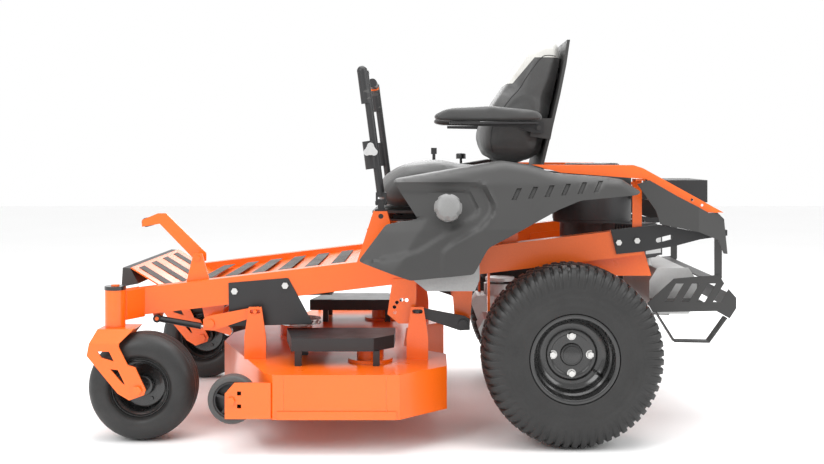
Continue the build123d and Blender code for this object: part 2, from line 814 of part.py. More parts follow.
def build_belt_covers():
    """Black covers over the side pulleys, each a shallow box on four feet."""
    with BuildPart() as covers:
        outline = [
            (cover_front_x, -cover_inner_y), (cover_front_x + 40, -cover_outer_y),
            (cover_rear_x - 60, -cover_outer_y),
            (cover_rear_x, -cover_outer_y + 70), (cover_rear_x, -cover_inner_y),
        ]
        inside = [
            (cover_front_x + 8, -cover_inner_y - 4), (cover_front_x + 43, -cover_outer_y + 4),
            (cover_rear_x - 62, -cover_outer_y + 4), (cover_rear_x - 4, -cover_outer_y + 71),
            (cover_rear_x - 4, -cover_inner_y - 4),
        ]
        plan_plate(outline, cover_low_z, cover_top_z)
        plan_plate(inside, cover_low_z, cover_top_z - 4, Mode.SUBTRACT)
        for x in (cover_front_x + 50, cover_rear_x - 62):
            for y in (-cover_outer_y + 2, -cover_inner_y - 22):
                block(x, x + 20, y, y + 20, deck_top_z, cover_low_z)
        mirror(about=Plane.XZ)
    write(covers.part, "belt_covers")


def build_chute():
    """Discharge deflector on a hinge pin along the top of the deck's right-hand wall."""
    y0 = deck_half_width + 12
    front = discharge_front_x - 10
    rear = discharge_rear_x + 10
    section = [
        (y0 - 6, hinge_z), (y0 + 6, hinge_z), (chute_outer_y - 60, hinge_z - 40),
        (chute_outer_y, hinge_z - 100),
        (chute_outer_y - 5, hinge_z - 102), (chute_outer_y - 62, hinge_z - 46), (y0 + 6, hinge_z - 6),
    ]
    with BuildPart() as flap:
        with BuildSketch(Plane.YZ.offset(front)):
            with BuildLine():
                Polyline(*section, close=True)
            make_face()
        extrude(amount=rear - front)
        for x in (front, rear - 5):
            with BuildSketch(Plane.YZ.offset(x)):
                with BuildLine():
                    Polyline(
                        (y0 + 10, hinge_z - 4), (chute_outer_y - 61, hinge_z - 43),
                        (chute_outer_y - 2, hinge_z - 101),
                        (y0 + 30, hinge_z - 101), close=True,
                    )
                make_face()
            extrude(amount=5)
        with Locations(Location(((front + rear) / 2, y0, hinge_z), (0, 90, 0))):
            Cylinder(chute_pin_radius + 4, rear - front)
            Cylinder(chute_pin_radius, rear - front + 40)
    write(flap.part, "chute")


def build_spindles():
    """Blade shafts with their pulleys, and the blades."""
    for label, (x, y) in zip(("left", "mid", "right"), spindle_spots):
        with BuildPart() as spindle:
            post(x, y, blade_z + blade_thickness, spindle_low_z - gap, 24)
            post(x, y, spindle_low_z - gap, deck_top_z + 38 + gap, spindle_radius)
            post(x, y, deck_top_z + 38 + gap, pulley_z + 12, 22)
            post(x, y, pulley_z, pulley_z + 12, spindle_pulley_radius - 8)
            for low in (pulley_z - 3, pulley_z + 12):
                post(x, y, low, low + 3, spindle_pulley_radius)
            post(x, y, blade_z - 10, blade_z, 17)
        write(spindle.part, f"spindle_{label}")
        with BuildPart() as blade:
            plan_plate(
                [(x - 30, y - blade_tip), (x + 30, y - blade_tip), (x + 30, y + blade_tip),
                    (x - 30, y + blade_tip)],
                blade_z, blade_z + blade_thickness,
            )
            for end in (-1, 1):
                ends = sorted((y + end * blade_tip, y + end * (blade_tip - 110)))
                trailing = sorted((x - end * 30, x - end * 18))
                block(*trailing, *ends, blade_z + blade_thickness, blade_z + blade_thickness + 14)
        write(blade.part, f"blade_{label}")


def build_scalp_wheels():
    """Small solid wheels at the front corners of the deck."""
    y_from = -deck_half_width + deck_wall + 2
    with BuildPart() as wheel:
        cross_pin(scalp_x, scalp_z, y_from, y_from + scalp_width, scalp_radius)
        fillet(wheel.edges().filter_by(GeomType.CIRCLE), 6)
        for low in (y_from, y_from + scalp_width - 10):
            cross_pin(scalp_x, scalp_z, low, low + 10, scalp_radius - 18, Mode.SUBTRACT)
            cross_pin(scalp_x, scalp_z, low, low + 10, 20)
        cross_pin(scalp_x, scalp_z, y_from, y_from + scalp_width, scalp_pin_radius + fit, Mode.SUBTRACT)
    write_pair(wheel.part, "scalp_wheel")


# ---------------------------------------------------------------- deck lift
def build_lift():
    """Front and rear lift shafts with their arms, the gas struts and the foot pedal."""
    shafts = (("lift_front", front_shaft_x, front_shaft_z, 1),
        ("lift_rear", rear_shaft_x, rear_shaft_z, -1))
    for label, x, z, way in shafts:
        tip_x = x + way * lift_reach
        tip_z = lift_top_z(z)
        rise = tip_z - z
        with BuildPart() as shaft:
            cross_pin(x, z, -lift_arm_y - 12, lift_arm_y + 12, shaft_radius)
        with BuildPart() as arms:
            side_plate(
                [
                    (x - way * 22, z - 20), (x + way * 10, z - 22), (tip_x + way * 8, tip_z - 14),
                    (tip_x + way * 16, tip_z), (tip_x + way * 8, tip_z + 14), (x - way * 6, z + 24),
                    (x - way * 22, z + 14),
                ],
                -lift_arm_y - 4, -lift_arm_y + 4,
            )
            cross_pin(x, z, -lift_arm_y - 4, -lift_arm_y + 4, shaft_radius, Mode.SUBTRACT)
            cross_pin(tip_x, tip_z, -hanger_y - 8, -lift_arm_y - 4, strut_pin_radius)
            mirror(about=Plane.XZ)
        pieces = [shaft, arms]
        if way > 0:
            with BuildPart() as lugs:
                # cranks that the gas struts push
                side_plate(
                    [
                        (x - 20, z - 16), (x, z - 24), (strut_rear_x + 8, strut_rear_z - 12),
                        (strut_rear_x + 14, strut_rear_z), (strut_rear_x + 8, strut_rear_z + 12),
                        (x + 8, z + 22),
                        (x - 20, z + 16),
                    ],
                    -strut_y - strut_half_eye - 7, -strut_y - strut_half_eye - 1,
                )
                cross_pin(x, z, -strut_y - 14, -strut_y, shaft_radius, Mode.SUBTRACT)
                cross_pin(
                    strut_rear_x, strut_rear_z, -strut_y - strut_half_eye - 1,
                        -strut_y + strut_half_eye + 2,
                    strut_pin_radius,
                )
                mirror(about=Plane.XZ)
            pieces.append(lugs)
        write(joined(*pieces), label)


def build_struts():
    """Gas struts: cylinders with a front eye, and rods with a rear eye, drawn along their own axis."""
    slope = degrees(atan((strut_front_z - strut_rear_z) / (strut_rear_x - strut_front_x)))
    length = hypot(strut_rear_x - strut_front_x, strut_front_z - strut_rear_z)
    place = Location((strut_front_x, -strut_y, strut_front_z), (0, slope, 0))
    with BuildPart() as cylinders:
        with Locations(Location((12 + strut_tube / 2, 0, 0), (0, 90, 0))):
            Cylinder(strut_tube_radius, strut_tube)
        with Locations(Location((0, 0, 0), (90, 0, 0))):
            Cylinder(13, 2 * strut_half_eye)
            Cylinder(strut_pin_radius + fit, 2 * strut_half_eye, mode=Mode.SUBTRACT)
        with Locations(Location((12 + strut_tube / 2 + 20, 0, 0), (0, 90, 0))):
            Cylinder(strut_rod_radius + fit, strut_tube - 20, mode=Mode.SUBTRACT)
    with BuildPart() as rods:
        rod_front = 12 + strut_tube - 60
        with Locations(Location(((rod_front + length - 8) / 2, 0, 0), (0, 90, 0))):
            Cylinder(strut_rod_radius, length - 8 - rod_front)
        with Locations(Location((length, 0, 0), (90, 0, 0))):
            Cylinder(14, 2 * strut_half_eye)
            Cylinder(strut_pin_radius + 2, 2 * strut_half_eye, mode=Mode.SUBTRACT)
    for builder, label in ((cylinders, "strut_cylinders"), (rods, "strut_rods")):
        left = builder.part.moved(place)
        both = Compound(children=[*left.solids(), *mirror(left, about=Plane.XZ).solids()])
        write(both, label)


def build_pedal():
    """Foot pedal that raises the deck: an arm on a pin through its bracket, with a peg at the end."""
    x, z = pedal_x, pedal_z
    with BuildPart() as arm:
        side_plate(
            [
                (x - 12, z - 20), (x + 16, z - 14), (x + 16, z + 12),
                (pedal_bend_x + 14, pedal_bend_z + 18),
                (pedal_bend_x - 12, pedal_bend_z + 18), (pedal_peg_x - 12, pedal_peg_z + 8),
                (pedal_peg_x - 12, pedal_peg_z - 14), (pedal_bend_x - 6, pedal_bend_z - 16),
            ],
            -pedal_y - 4, -pedal_y + 4,
        )
        cross_pin(x, z, -pedal_bracket_y - 8, -pedal_y - 4, pedal_pin_radius)
    with BuildPart() as peg:
        cross_pin(pedal_peg_x, pedal_peg_z, 4 - pedal_y, 80 - pedal_y, 15)
    write(joined(arm, peg), "lift_pedal")


# ---------------------------------------------------------------- controls and seat
def tilted(point, radius, length):
    """A cylinder up the lever's lean from a point, in the part being built."""
    lean = degrees(atan((lever_x - handle_x) / (handle_z - lever_z)))
    with Locations(Location(point, (0, -lean, 0))):
        Cylinder(radius, length, align=(Align.CENTER, Align.CENTER, Align.MIN))


def build_levers():
    """Steering levers: a block on the fore and aft pin, and an arm that also swings in and out."""
    y = (tower_outer_y + tower_inner_y) / 2
    room = y - tower_inner_y - tower_wall - gap
    swing_z = lever_z + 42
    with BuildPart() as base:
        block(lever_x - 20, lever_x + 20, -y - room, -y + room, lever_z - 23, swing_z - 20)
        cross_pin(lever_x, lever_z, -tower_outer_y, -tower_inner_y, lever_pin_radius)
        block(lever_x - 10, lever_x + 10, -y - 12, -y + 12, swing_z - 20, swing_z + 12)
        with Locations(Location((lever_x, -y, swing_z), (0, 90, 0))):
            Cylinder(6 + fit, 60, mode=Mode.SUBTRACT)
    write_pair(base.part, "lever_base")
    foot = (lever_x, -y, swing_z + 18)
    length = hypot(handle_z - foot[2], handle_x - lever_x)
    corner = (handle_x, -y, handle_z)
    with BuildPart() as arm:
        for dx in (-17, 11):
            block(lever_x + dx, lever_x + dx + 6, -y - 12, -y + 12, swing_z - 8, swing_z + 19)
        block(lever_x - 17, lever_x + 17, -y - 12, -y + 12, swing_z + 19, swing_z + 34)
        with Locations(Location((lever_x, -y, swing_z), (0, 90, 0))):
            Cylinder(6, 38)
        tilted((lever_x - 1, -y, swing_z + 24), lever_tube_radius, length - 8)
        with Locations(corner):
            Sphere(lever_tube_radius)
        cross_pin(handle_x, handle_z, -y, -y + handle_length, lever_tube_radius)
        # clamp that sets the lever's height, with its plate
        tilted((knob_x, -y, knob_z - 60), lever_tube_radius + 7, 90)
    with BuildPart() as knob:
        cross_pin(knob_x - 2, knob_z, -y - 34, -y - lever_tube_radius - 7, 9)
        for lobe in range(3):
            angle = radians(90 + 120 * lobe)
            cross_pin(knob_x - 2 + 13 * cos(angle), knob_z + 13 * sin(angle), -y - 46, -y - 34, 11)
        cross_pin(knob_x - 2, knob_z, -y - 46, -y - 34, 16)
    with BuildPart() as grip:
        tilted((handle_x + 14, -y, handle_z - 104), grip_radius, 104)
        with Locations(corner):
            Sphere(grip_radius)
        cross_pin(handle_x, handle_z, -y, -y + handle_length + 4, grip_radius)
        add(arm.part, mode=Mode.SUBTRACT)
    write_pair(joined(arm, knob, grip), "lever_arm")


def build_seat():
    """Hinged seat pan, sliding seat shell, cushions and folding armrests."""
    x, z = seat_pivot_x, seat_pivot_z
    with BuildPart() as pan:
        block(x + 20, x + 490, -seat_half_width, seat_half_width, z + 3, z + 9)
        cross_pin(x, z, -seat_ear_y + gap, seat_ear_y - gap, 9)
        block(x, x + 20, -seat_ear_y + gap, seat_ear_y - gap, z + 3, z + 9)
        cross_pin(x, z, -seat_ear_y - 12, seat_ear_y + 12, seat_pin_radius)
        for side in (-1, 1):
            runner = sorted((side * 150, side * 176))
            block(x + 60, x + 440, *runner, z + 9, z + 20)
    write(pan.part, "seat_pan")
    low = z + 20 + gap
    floor_z = low + 16
    with BuildPart() as shell:
        block(x - 6, shell_rear_x, -seat_half_width, seat_half_width, low + 8, floor_z)
        for side in (-1, 1):
            runner = sorted((side * 146, side * 180))
            block(x + 90, x + 420, *runner, low, low + 8)
        rear = [(shell_rear_x - 6, low + 8), *seat_back_rear]
        front = [(px - shell_wall, pz) for px, pz in reversed(rear)]
        side_plate(rear + front, -seat_half_width, seat_half_width)
        for side in (-1, 1):
            wing = sorted((side * (seat_half_width - 4), side * (seat_half_width + 4)))
            side_plate([(380, 940), (446, 930), (460, 1000), (380, 1000)], *wing)
            pin = sorted((side * seat_half_width, side * (seat_half_width + 26)))
            cross_pin(arm_pivot_x, arm_pivot_z, *pin, arm_pin_radius)
    write(shell.part, "seat_shell")
    with BuildPart() as cushion:
        bottom = floor_z + 0.4
        side_plate(
            [
                (-140, bottom), (392, bottom), (398, 800), (380, 838), (162, 845), (62, 868), (-60, 848),
                (-140, 795), (-167, 740),
            ],
            -cushion_half_width, cushion_half_width,
        )
    write(cushion.part, "seat_cushion")
    with BuildPart() as back:
        rear = [(px - shell_wall - 0.4, pz) for px, pz in seat_back_rear]
        half = seat_half_width - 6
        side_plate(
            [
                *rear, (486, 1288), (440, 1291), (395, 1262), (334, 1170), (262, 1070), (207, 969),
                    (203, 900),
                (218, 852),
            ],
            -half, half,
        )
    write(back.part, "back_cushion")
    inner = seat_half_width + 12
    with BuildPart() as arm:
        side_plate(
            [
                (arm_pivot_x - 22, arm_pivot_z - 16), (arm_pivot_x + 16, arm_pivot_z - 18),
                (arm_pivot_x + 18, pad_low_z), (110, pad_low_z), (110, pad_low_z - 10),
                (330, pad_low_z - 14),
            ],
            -inner - 8, -inner,
        )
        cross_pin(arm_pivot_x, arm_pivot_z, -inner, -seat_half_width - 4 - gap, 14)
        block(110, 400, -inner - 70, -inner - 8, pad_low_z - 6, pad_low_z)
        cross_pin(arm_pivot_x, arm_pivot_z, -inner - 8, -seat_half_width, arm_pin_radius + fit,
            Mode.SUBTRACT)
    with BuildPart() as pad:
        side_plate(
            [
                (49, 992), (62, pad_low_z), (412, pad_low_z), (425, 1000), (405, 1026), (242, 1042),
                (90, 1034),
                (56, 1014),
            ],
            -inner - 78, -inner,
        )
    write_pair(joined(arm, pad), "armrest")


def build_fenders():
    """Moulded side panels: an outline seen from the side crossed with a section seen from the front."""
    outline = [
        (-172, 556), (-12, 502), (177, 521), (221, 600), (435, 714), (502, 741), (673, 757), (689, 767),
        (633, 805), (435, 821), (348, 850), (273, 861), (-69, 802), (10, 684), (-89, 666),
    ]
    section = [
        (-fender_outer_y, 490), (-fender_outer_y, facet_low_z), (-facet_top_y, facet_top_z),
        (-shoulder_y, 870),
        (-shelf_inner_y, 870), (-shelf_inner_y, riser_z), (-fender_inner_y, riser_z),
        (-fender_inner_y, 490),
    ]
    hollow = offset_outline(section, fender_wall)

    def crossed(side_points, front_points):
        with BuildPart() as solid:
            with BuildSketch(Plane.YZ.offset(-300)):
                with BuildLine():
                    Polyline(*front_points, close=True)
                make_face()
            extrude(amount=1200)
            side_plate(side_points, -700, -200, Mode.INTERSECT)
        return solid.part

    inner_side = offset_outline(outline, fender_wall)
    with BuildPart() as fender:
        add(crossed(outline, section))
        add(crossed(inner_side, hollow), mode=Mode.SUBTRACT)
        add(crossed([(x, z - 14) for x, z in inner_side], hollow), mode=Mode.SUBTRACT)
        block(-200, 24, -fender_inner_y, -shelf_inner_y + 1, 400, 720, Mode.SUBTRACT)
    body = fender.part
    with BuildPart() as left:
        add(body)
        with Locations(cap_place(0)):
            Cylinder(neck_radius + 1, 80, mode=Mode.SUBTRACT)
    write(left.part, "fender_left")
    with BuildPart() as right:
        add(mirror(body, about=Plane.XZ))
        post(pto_x, pto_y, 780, 900, pto_stem_radius + fit, Mode.SUBTRACT)
        block(throttle_x - 34, throttle_x + 34, throttle_y - 3 - gap, throttle_y + 3 + gap, 790, 880,
            Mode.SUBTRACT)
    write(right.part, "fender_right")


def offset_outline(points, inset):
    """The corner points of a closed outline drawn in by an inset."""
    with BuildSketch(mode=Mode.PRIVATE) as sketch:
        with BuildLine():
            Polyline(*points, close=True)
        make_face()
        offset(amount=-inset, kind=Kind.INTERSECTION)
    wire = sketch.sketch.faces()[0].outer_wire()
    return [(edge.position_at(0).X, edge.position_at(0).Y) for edge in wire.order_edges()]


def cap_place(along):
    """A place on the filler neck's axis, square to the fender's sloping face."""
    tilt = degrees(atan((facet_top_z - facet_low_z) / (fender_outer_y - facet_top_y)))
    middle_y = -fender_outer_y + (cap_z - facet_low_z) / (facet_top_z - facet_low_z) * (fender_outer_y - facet_top_y)
    run = radians(90 - tilt)
    return Location((cap_x, middle_y - along * cos(run), cap_z + along * sin(run)), (tilt, 0, 0))


def build_tank():
    """Fuel tank inside the left-hand fender, its filler neck and the screw cap."""
    with BuildPart() as tank:
        side_plate([(-30, 640), (-30, 520), (36, 466), (182, 466), (196, 500), (196, 640)], -580, -412)
        side_plate([(30, 690), (30, 640), (176, 640), (176, 690)], -540, -412)
        with Locations(cap_place(-22)):
            Cylinder(neck_radius, 106)
    write(tank.part, "fuel_tank")
    with BuildPart() as cap:
        with Locations(cap_place(18 + 15)):
            Cylinder(cap_radius, 30)
        with Locations(cap_place(18 + 15 - 5)):
            Cylinder(neck_radius + gap, 40, mode=Mode.SUBTRACT)
        with Locations(cap_place(18 + 26)):
            Cylinder(cap_radius, 22)
    write(cap.part, "fuel_cap")


def build_knobs():
    """Blade clutch knob and throttle lever on the right-hand fender."""
    with BuildPart() as pto:
        post(pto_x, pto_y, 800, 862, pto_stem_radius)
        post(pto_x, pto_y, 862, 884, 19)
        fillet(pto.edges().filter_by(GeomType.CIRCLE).group_by(Axis.Z)[-1], 6)
    write(pto.part, "pto_knob")
    with BuildPart() as throttle:
        block(throttle_x - 6, throttle_x + 6, throttle_y - 3, throttle_y + 3, throttle_pivot_z - 8, 880)
        cross_pin(throttle_x, throttle_pivot_z, throttle_y - 12, throttle_y + 12, 6)
        block(throttle_x - 11, throttle_x + 11, throttle_y - 9, throttle_y + 9, 880, 904)
    write(throttle.part, "throttle_lever")


# ---------------------------------------------------------------- engine and rear
def build_engine():
    """V-twin engine with an upright shaft: crankcase, cylinders, shroud and air cleaner."""
    z = plate_top_z
    with BuildPart() as block_part:
        post(engine_x, 0, z, z + 12, 130)
        post(engine_x, 0, z + 12, z + 160, 112)
        post(engine_x, 0, z + 150, z + 160, shroud_radius - 2)
        for turn in (-45, 45):
            with Locations(Location((engine_x, 0, z + 92), (0, 0, turn))):
                with Locations((150, 0, 0)):
                    Box(150, 128, 2 * (plate_top_z + 92 - cylinder_low_z))
                with Locations((240, 0, 0)):
                    Box(34, 108, 96)
        post(engine_x, 0, z, z + 66, crank_radius + fit, Mode.SUBTRACT)
    write(block_part.part, "engine_block")
    with BuildPart() as shroud:
        post(engine_x, 0, z + 160 + gap, shroud_top_z, shroud_radius)
        post(engine_x, 0, z + 160 + gap, shroud_top_z - 5, shroud_radius - 5, Mode.SUBTRACT)
        post(engine_x, 0, shroud_top_z, shroud_top_z + 40, 96)
    with BuildPart() as cleaner:
        block(826, 992, -140, 140, 716, 792)
        block(engine_x + shroud_radius - 12, 826, -60, 60, 724, 770)
        post(engine_x, 0, 700, 800, shroud_radius + gap, Mode.SUBTRACT)
    write(joined(shroud, cleaner), "engine_shroud")
    with BuildPart() as clutch:
        post(engine_x, 0, 404, z + 64, crank_radius)
        post(engine_x, 0, 404, 420, clutch_radius)
        post(engine_x, 0, 420, 432, clutch_radius - 12)
        post(engine_x, 0, 432, 466, clutch_radius)
    write(clutch.part, "clutch_pulley")


def build_exhaust():
    """Muffler across the rear, its guard plates, bumper loop and the bracket arms."""
    with BuildPart() as muffler:
        side_plate([(776, 400), (800, 356), (900, 356), (925, 400), (925, 460), (900, 500), (800, 500),
            (776, 460)], -250, 250)
        for y in (-250, 242):
            side_plate([(772, 398), (798, 352), (902, 352), (929, 398), (929, 462), (902, 504),
                (798, 504), (772, 462)], y, y + 8)
        for y in (-114, 114):
            post(792, y, 500, cylinder_low_z, 14)
        side_plate(
            [(779, 401), (802, 359), (898, 359), (922, 401), (922, 459), (898, 497), (802, 497),
                (779, 459)],
            -247, 247, Mode.SUBTRACT,
        )
    write(muffler.part, "muffler")
    outline = [
        (767, 369), (750, 399), (836, 478), (982, 490), (1003, 455), (guard_rear_x, 416),
        (guard_rear_x, 382),
        (1016, 349), (973, 373),
    ]
    wall = 4
    with BuildPart() as guard:
        side_plate(outline, -guard_y, wall - guard_y)
        for spot in range(4):
            x = 806 + 52 * spot
            side_plate([(x, 402), (x + 26, 402), (x + 62, 462),
                (x + 36, 462)], -guard_y, wall - guard_y, Mode.SUBTRACT)
        loop = [(782, 369), (841, 276), (950, 274), (1006, 352), (1010, 349), (952, 269), (838, 271),
            (777, 369)]
        side_plate(loop, wall - guard_y, 46 - guard_y)
        side_plate([(968, 480), (992, 478), (992, 640), (968, 640)], wall - guard_y, 8 - guard_y)
        mirror(about=Plane.XZ)
    with BuildPart() as rear_wall:
        # cross plates that join the two sides behind and above the muffler
        block(1010, 1014, wall - guard_y, guard_y - wall, 384, 432)
        block(918, 964, wall - guard_y, guard_y - wall, 482, 486)
        block(772, 930, 250 + gap, guard_y - wall, 400, 404)
        block(772, 930, wall - guard_y, -250 - gap, 400, 404)
    write(joined(guard, rear_wall), "muffler_guard")
    with BuildPart() as arms:
        side_plate(
            [(621, 640), (775, 657), (906, 632), (992, 640), (992, 622), (906, 610), (826, 589),
                (729, 572), (640, 563)],
            -rail_outer_y - bracket_wall, -rail_outer_y,
        )
        with BuildSketch(Plane.XZ.offset(rail_outer_y)) as slot:
            with Locations(Location((792, 612), 14)):
                SlotOverall(56, 15)
        extrude(slot.sketch, amount=bracket_wall, mode=Mode.SUBTRACT)
        block(986, 992, -rail_outer_y, 4 - guard_y, 622, 640)
        mirror(about=Plane.XZ)
    with BuildPart() as bolts:
        for x, z in ((646, 600), (704, 606)):
            hex_head(x, z, -rail_outer_y - bracket_wall - 8, -rail_outer_y - bracket_wall, 17)
        mirror(about=Plane.XZ)
    return [arms, bolts]


def build_rear_bar(extra):
    """Painted bars that run back over the rear wheels and down at the corners."""
    band = [(365, 848), (684, 847), (715, 837), (967, 698), (917, 698), (812, 752), (724, 803), (458, 823)]
    inside = [(377, 842), (684, 842), (712, 832), (945, 703), (919, 703), (812, 758), (726, 809),
        (458, 829)]
    with BuildPart() as bars:
        side_plate(band, -bar_outer_y, -bar_inner_y)
        side_plate(inside, bar_wall - bar_outer_y, -bar_inner_y + 1, Mode.SUBTRACT)
        for x, z in bar_holes:
            cross_pin(x, z, -bar_outer_y - 1, bar_wall - bar_outer_y + 1, bar_hole_radius, Mode.SUBTRACT)
        mirror(about=Plane.XZ)
    with BuildPart() as posts:
        # uprights from the rails to the bars
        x = rail_rear - 33
        top = 803
        side_plate(
            [(x, rail_z(x) + rail_height), (x + 30, rail_z(x + 30) + rail_height), (x + 30, top), (x, top)],
            5 - rail_outer_y, 11 - rail_outer_y,
        )
        block(x, x + 30, -bar_outer_y + bar_wall, 11 - rail_outer_y, top - 5, top)
        mirror(about=Plane.XZ)
    write(joined(bars, posts, *extra), "rear_bar")


def build_corner_panels():
    """Faceted panels that wrap the rear corners under the bars."""
    outline = [
        (690, 788), (747, 706), (761, 664), (885, 638), (951, 612), (975, 567), (988, 565), (975, 676),
        (950, 698 - gap), (917, 698 - gap), (812, 752 - gap), (727, 801 - gap),
    ]
    plan = [(640, -452), (700, -478), (880, -478), (1000, -400), (1000, -300), (960, -300), (960, -340),
        (640, -340)]
    with BuildPart() as panel:
        with BuildSketch(Plane.XY.offset(500)):
            with BuildLine():
                Polyline(*plan, close=True)
            make_face()
        extrude(amount=400)
        side_plate(outline, -600, -200, Mode.INTERSECT)
        with BuildSketch(Plane.XY.offset(500)):
            with BuildLine():
                Polyline(
                    (630, -446), (700, -472), (878, -472), (994, -397), (994, -290), (950, -290),
                    (640, -290),
                    close=True,
                )
            make_face()
        extrude(amount=400, mode=Mode.SUBTRACT)
        mirror(about=Plane.XZ)
    write(panel.part, "corner_panels")


build_deck_shell()
build_belt_covers()
build_deck_brackets()
build_spindles()
build_scalp_wheels()
build_lift()
build_struts()
build_levers()
build_seat()
build_fenders()
build_tank()
build_knobs()
build_engine()
build_rear_bar(build_exhaust())
build_corner_panels()
build_pedal()
build_chute()
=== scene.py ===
"""Looks for a zero turn mower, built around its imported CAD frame.

Places are written in the mower's own millimetres: x to the rear, y to its right-hand side, z up from the
ground, with y = 0 on its centreline. at() turns them into the row frame's metres.
"""

import json
from math import atan2, cos, hypot, pi, radians, sin, sqrt, tau

import bmesh
import bpy
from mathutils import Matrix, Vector
from mathutils.bvhtree import BVHTree
from mathutils.geometry import delaunay_2d_cdt


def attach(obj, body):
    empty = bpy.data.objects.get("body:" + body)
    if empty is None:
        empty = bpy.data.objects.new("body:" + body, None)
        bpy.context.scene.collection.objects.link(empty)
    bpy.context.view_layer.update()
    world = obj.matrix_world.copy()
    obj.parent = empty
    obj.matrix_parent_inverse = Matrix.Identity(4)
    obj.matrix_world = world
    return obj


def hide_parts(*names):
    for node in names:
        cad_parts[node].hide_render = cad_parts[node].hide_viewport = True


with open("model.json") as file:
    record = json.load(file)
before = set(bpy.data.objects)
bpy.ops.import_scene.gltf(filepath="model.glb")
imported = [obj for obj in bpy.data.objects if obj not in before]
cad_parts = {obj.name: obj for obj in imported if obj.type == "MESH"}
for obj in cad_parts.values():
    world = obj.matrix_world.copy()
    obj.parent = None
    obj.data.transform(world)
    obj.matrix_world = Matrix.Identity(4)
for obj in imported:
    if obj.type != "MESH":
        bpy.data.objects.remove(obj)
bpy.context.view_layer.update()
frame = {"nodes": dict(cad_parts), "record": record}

MM = 0.001
# the row frame's origin in the mower's millimetres
MID_X = 15.25
MID_Y = 118.5
SIDES = (-1, 1)
SIDE_NAMES = {-1: "left", 1: "right"}
RECORD = frame["record"]
NODE_BODY = {node: body for body, nodes in RECORD["behaviour"]["bodies"].items() for node in nodes}
NODE_SLOT = {part["node"]: part["material_slot"] for part in RECORD["subparts"]}
LEFT_OUT = "none"  # the look of a loose part that another piece stands for


def at(x, y, z):
    """A place on the mower in the row frame, in metres."""
    return Vector(((x - MID_X) * MM, (y - MID_Y) * MM, z * MM))


def mower(point):
    """The reverse of at(): a row-frame point in the mower's millimetres."""
    return Vector((point.x / MM + MID_X, point.y / MM + MID_Y, point.z / MM))


# ---------------------------------------------------------------- materials
def surface(name, color, other, patch=5, rough=(0.4, 0.55), metallic=0.0, grain=900, bump=0.1,
            coat=0.0, coat_rough=0.1, sheen=0.0, cells=False, contrast=0.3, depth=0.0004):
    """A procedural finish: two shades in patches and flecks, uneven gloss, and a grain in relief."""
    made = bpy.data.materials.new(name)
    made.use_nodes = True
    nodes, links = made.node_tree.nodes, made.node_tree.links
    shader = nodes["Principled BSDF"]
    shader.inputs["Metallic"].default_value = metallic
    shader.inputs["Coat Weight"].default_value = coat
    shader.inputs["Coat Roughness"].default_value = coat_rough
    shader.inputs["Sheen Weight"].default_value = sheen
    place = nodes.new("ShaderNodeTexCoord").outputs["Object"]

    def noise(scale, detail):
        made_noise = nodes.new("ShaderNodeTexNoise")
        made_noise.inputs["Scale"].default_value = scale
        made_noise.inputs["Detail"].default_value = detail
        links.new(place, made_noise.inputs["Vector"])
        return made_noise.outputs["Fac"]

    def spread(value, low, high):
        mapped = nodes.new("ShaderNodeMapRange")
        mapped.inputs["From Min"].default_value = 0.5 - contrast
        mapped.inputs["From Max"].default_value = 0.5 + contrast
        mapped.inputs["To Min"].default_value = low
        mapped.inputs["To Max"].default_value = high
        links.new(value, mapped.inputs["Value"])
        return mapped.outputs["Result"]

    patches = noise(patch, 5)
    flecks = noise(grain / 4, 2)
    fleck_share = 0.4
    both = nodes.new("ShaderNodeMath")
    both.operation = "MULTIPLY_ADD"
    both.inputs[1].default_value = fleck_share
    links.new(flecks, both.inputs[0])
    share = nodes.new("ShaderNodeMath")
    share.operation = "MULTIPLY"
    share.inputs[1].default_value = 1 - fleck_share
    links.new(patches, share.inputs[0])
    links.new(share.outputs[0], both.inputs[2])
    mix = nodes.new("ShaderNodeMix")
    mix.data_type = "RGBA"
    mix.inputs["A"].default_value = (*color, 1)
    mix.inputs["B"].default_value = (*other, 1)
    links.new(spread(both.outputs[0], 0, 1), mix.inputs["Factor"])
    links.new(mix.outputs["Result"], shader.inputs["Base Color"])
    links.new(spread(noise(patch * 3, 4), *rough), shader.inputs["Roughness"])
    if cells:
        relief = nodes.new("ShaderNodeTexVoronoi")
        relief.feature = "DISTANCE_TO_EDGE"
        relief.inputs["Scale"].default_value = grain
        links.new(place, relief.inputs["Vector"])
        height = relief.outputs["Distance"]
    else:
        height = noise(grain, 3)
    raised = nodes.new("ShaderNodeBump")
    raised.inputs["Strength"].default_value = bump
    raised.inputs["Distance"].default_value = depth
    links.new(height, raised.inputs["Height"])
    links.new(raised.outputs["Normal"], shader.inputs["Normal"])
    return made


orange = surface("orange_paint", (0.93, 0.145, 0.003), (0.80, 0.112, 0.003), patch=3, rough=(0.26, 0.36),
                 grain=700, bump=0.05, coat=0.35, coat_rough=0.12)
# lighter, glossier orange for the rounded edges: a painted highlight
orange_highlight = surface("orange_paint_highlight", (1.0, 0.26, 0.03), (0.9, 0.17, 0.01), patch=20,
                      rough=(0.2, 0.3), grain=700, bump=0.05, coat=0.5)
black = surface("black_paint", (0.011, 0.011, 0.012), (0.02, 0.02, 0.021), patch=6, rough=(0.36, 0.5),
                grain=1100, bump=0.12)
# lighter, glossier black for the rounded edges: a painted highlight
black_highlight = surface("black_paint_highlight", (0.05, 0.05, 0.05), (0.10, 0.10, 0.10), patch=30,
                     rough=(0.3, 0.4), grain=900, bump=0.05)
charcoal = surface("charcoal_plastic", (0.026, 0.0255, 0.025), (0.038, 0.0375, 0.0365), patch=4,
                   rough=(0.42, 0.55), grain=1300, bump=0.22, cells=True)
# lighter charcoal for the rounded edges: a painted highlight
charcoal_highlight = surface("charcoal_plastic_highlight", (0.045, 0.044, 0.043), (0.07, 0.069, 0.067), patch=25,
                        rough=(0.34, 0.45), grain=1300, bump=0.1)
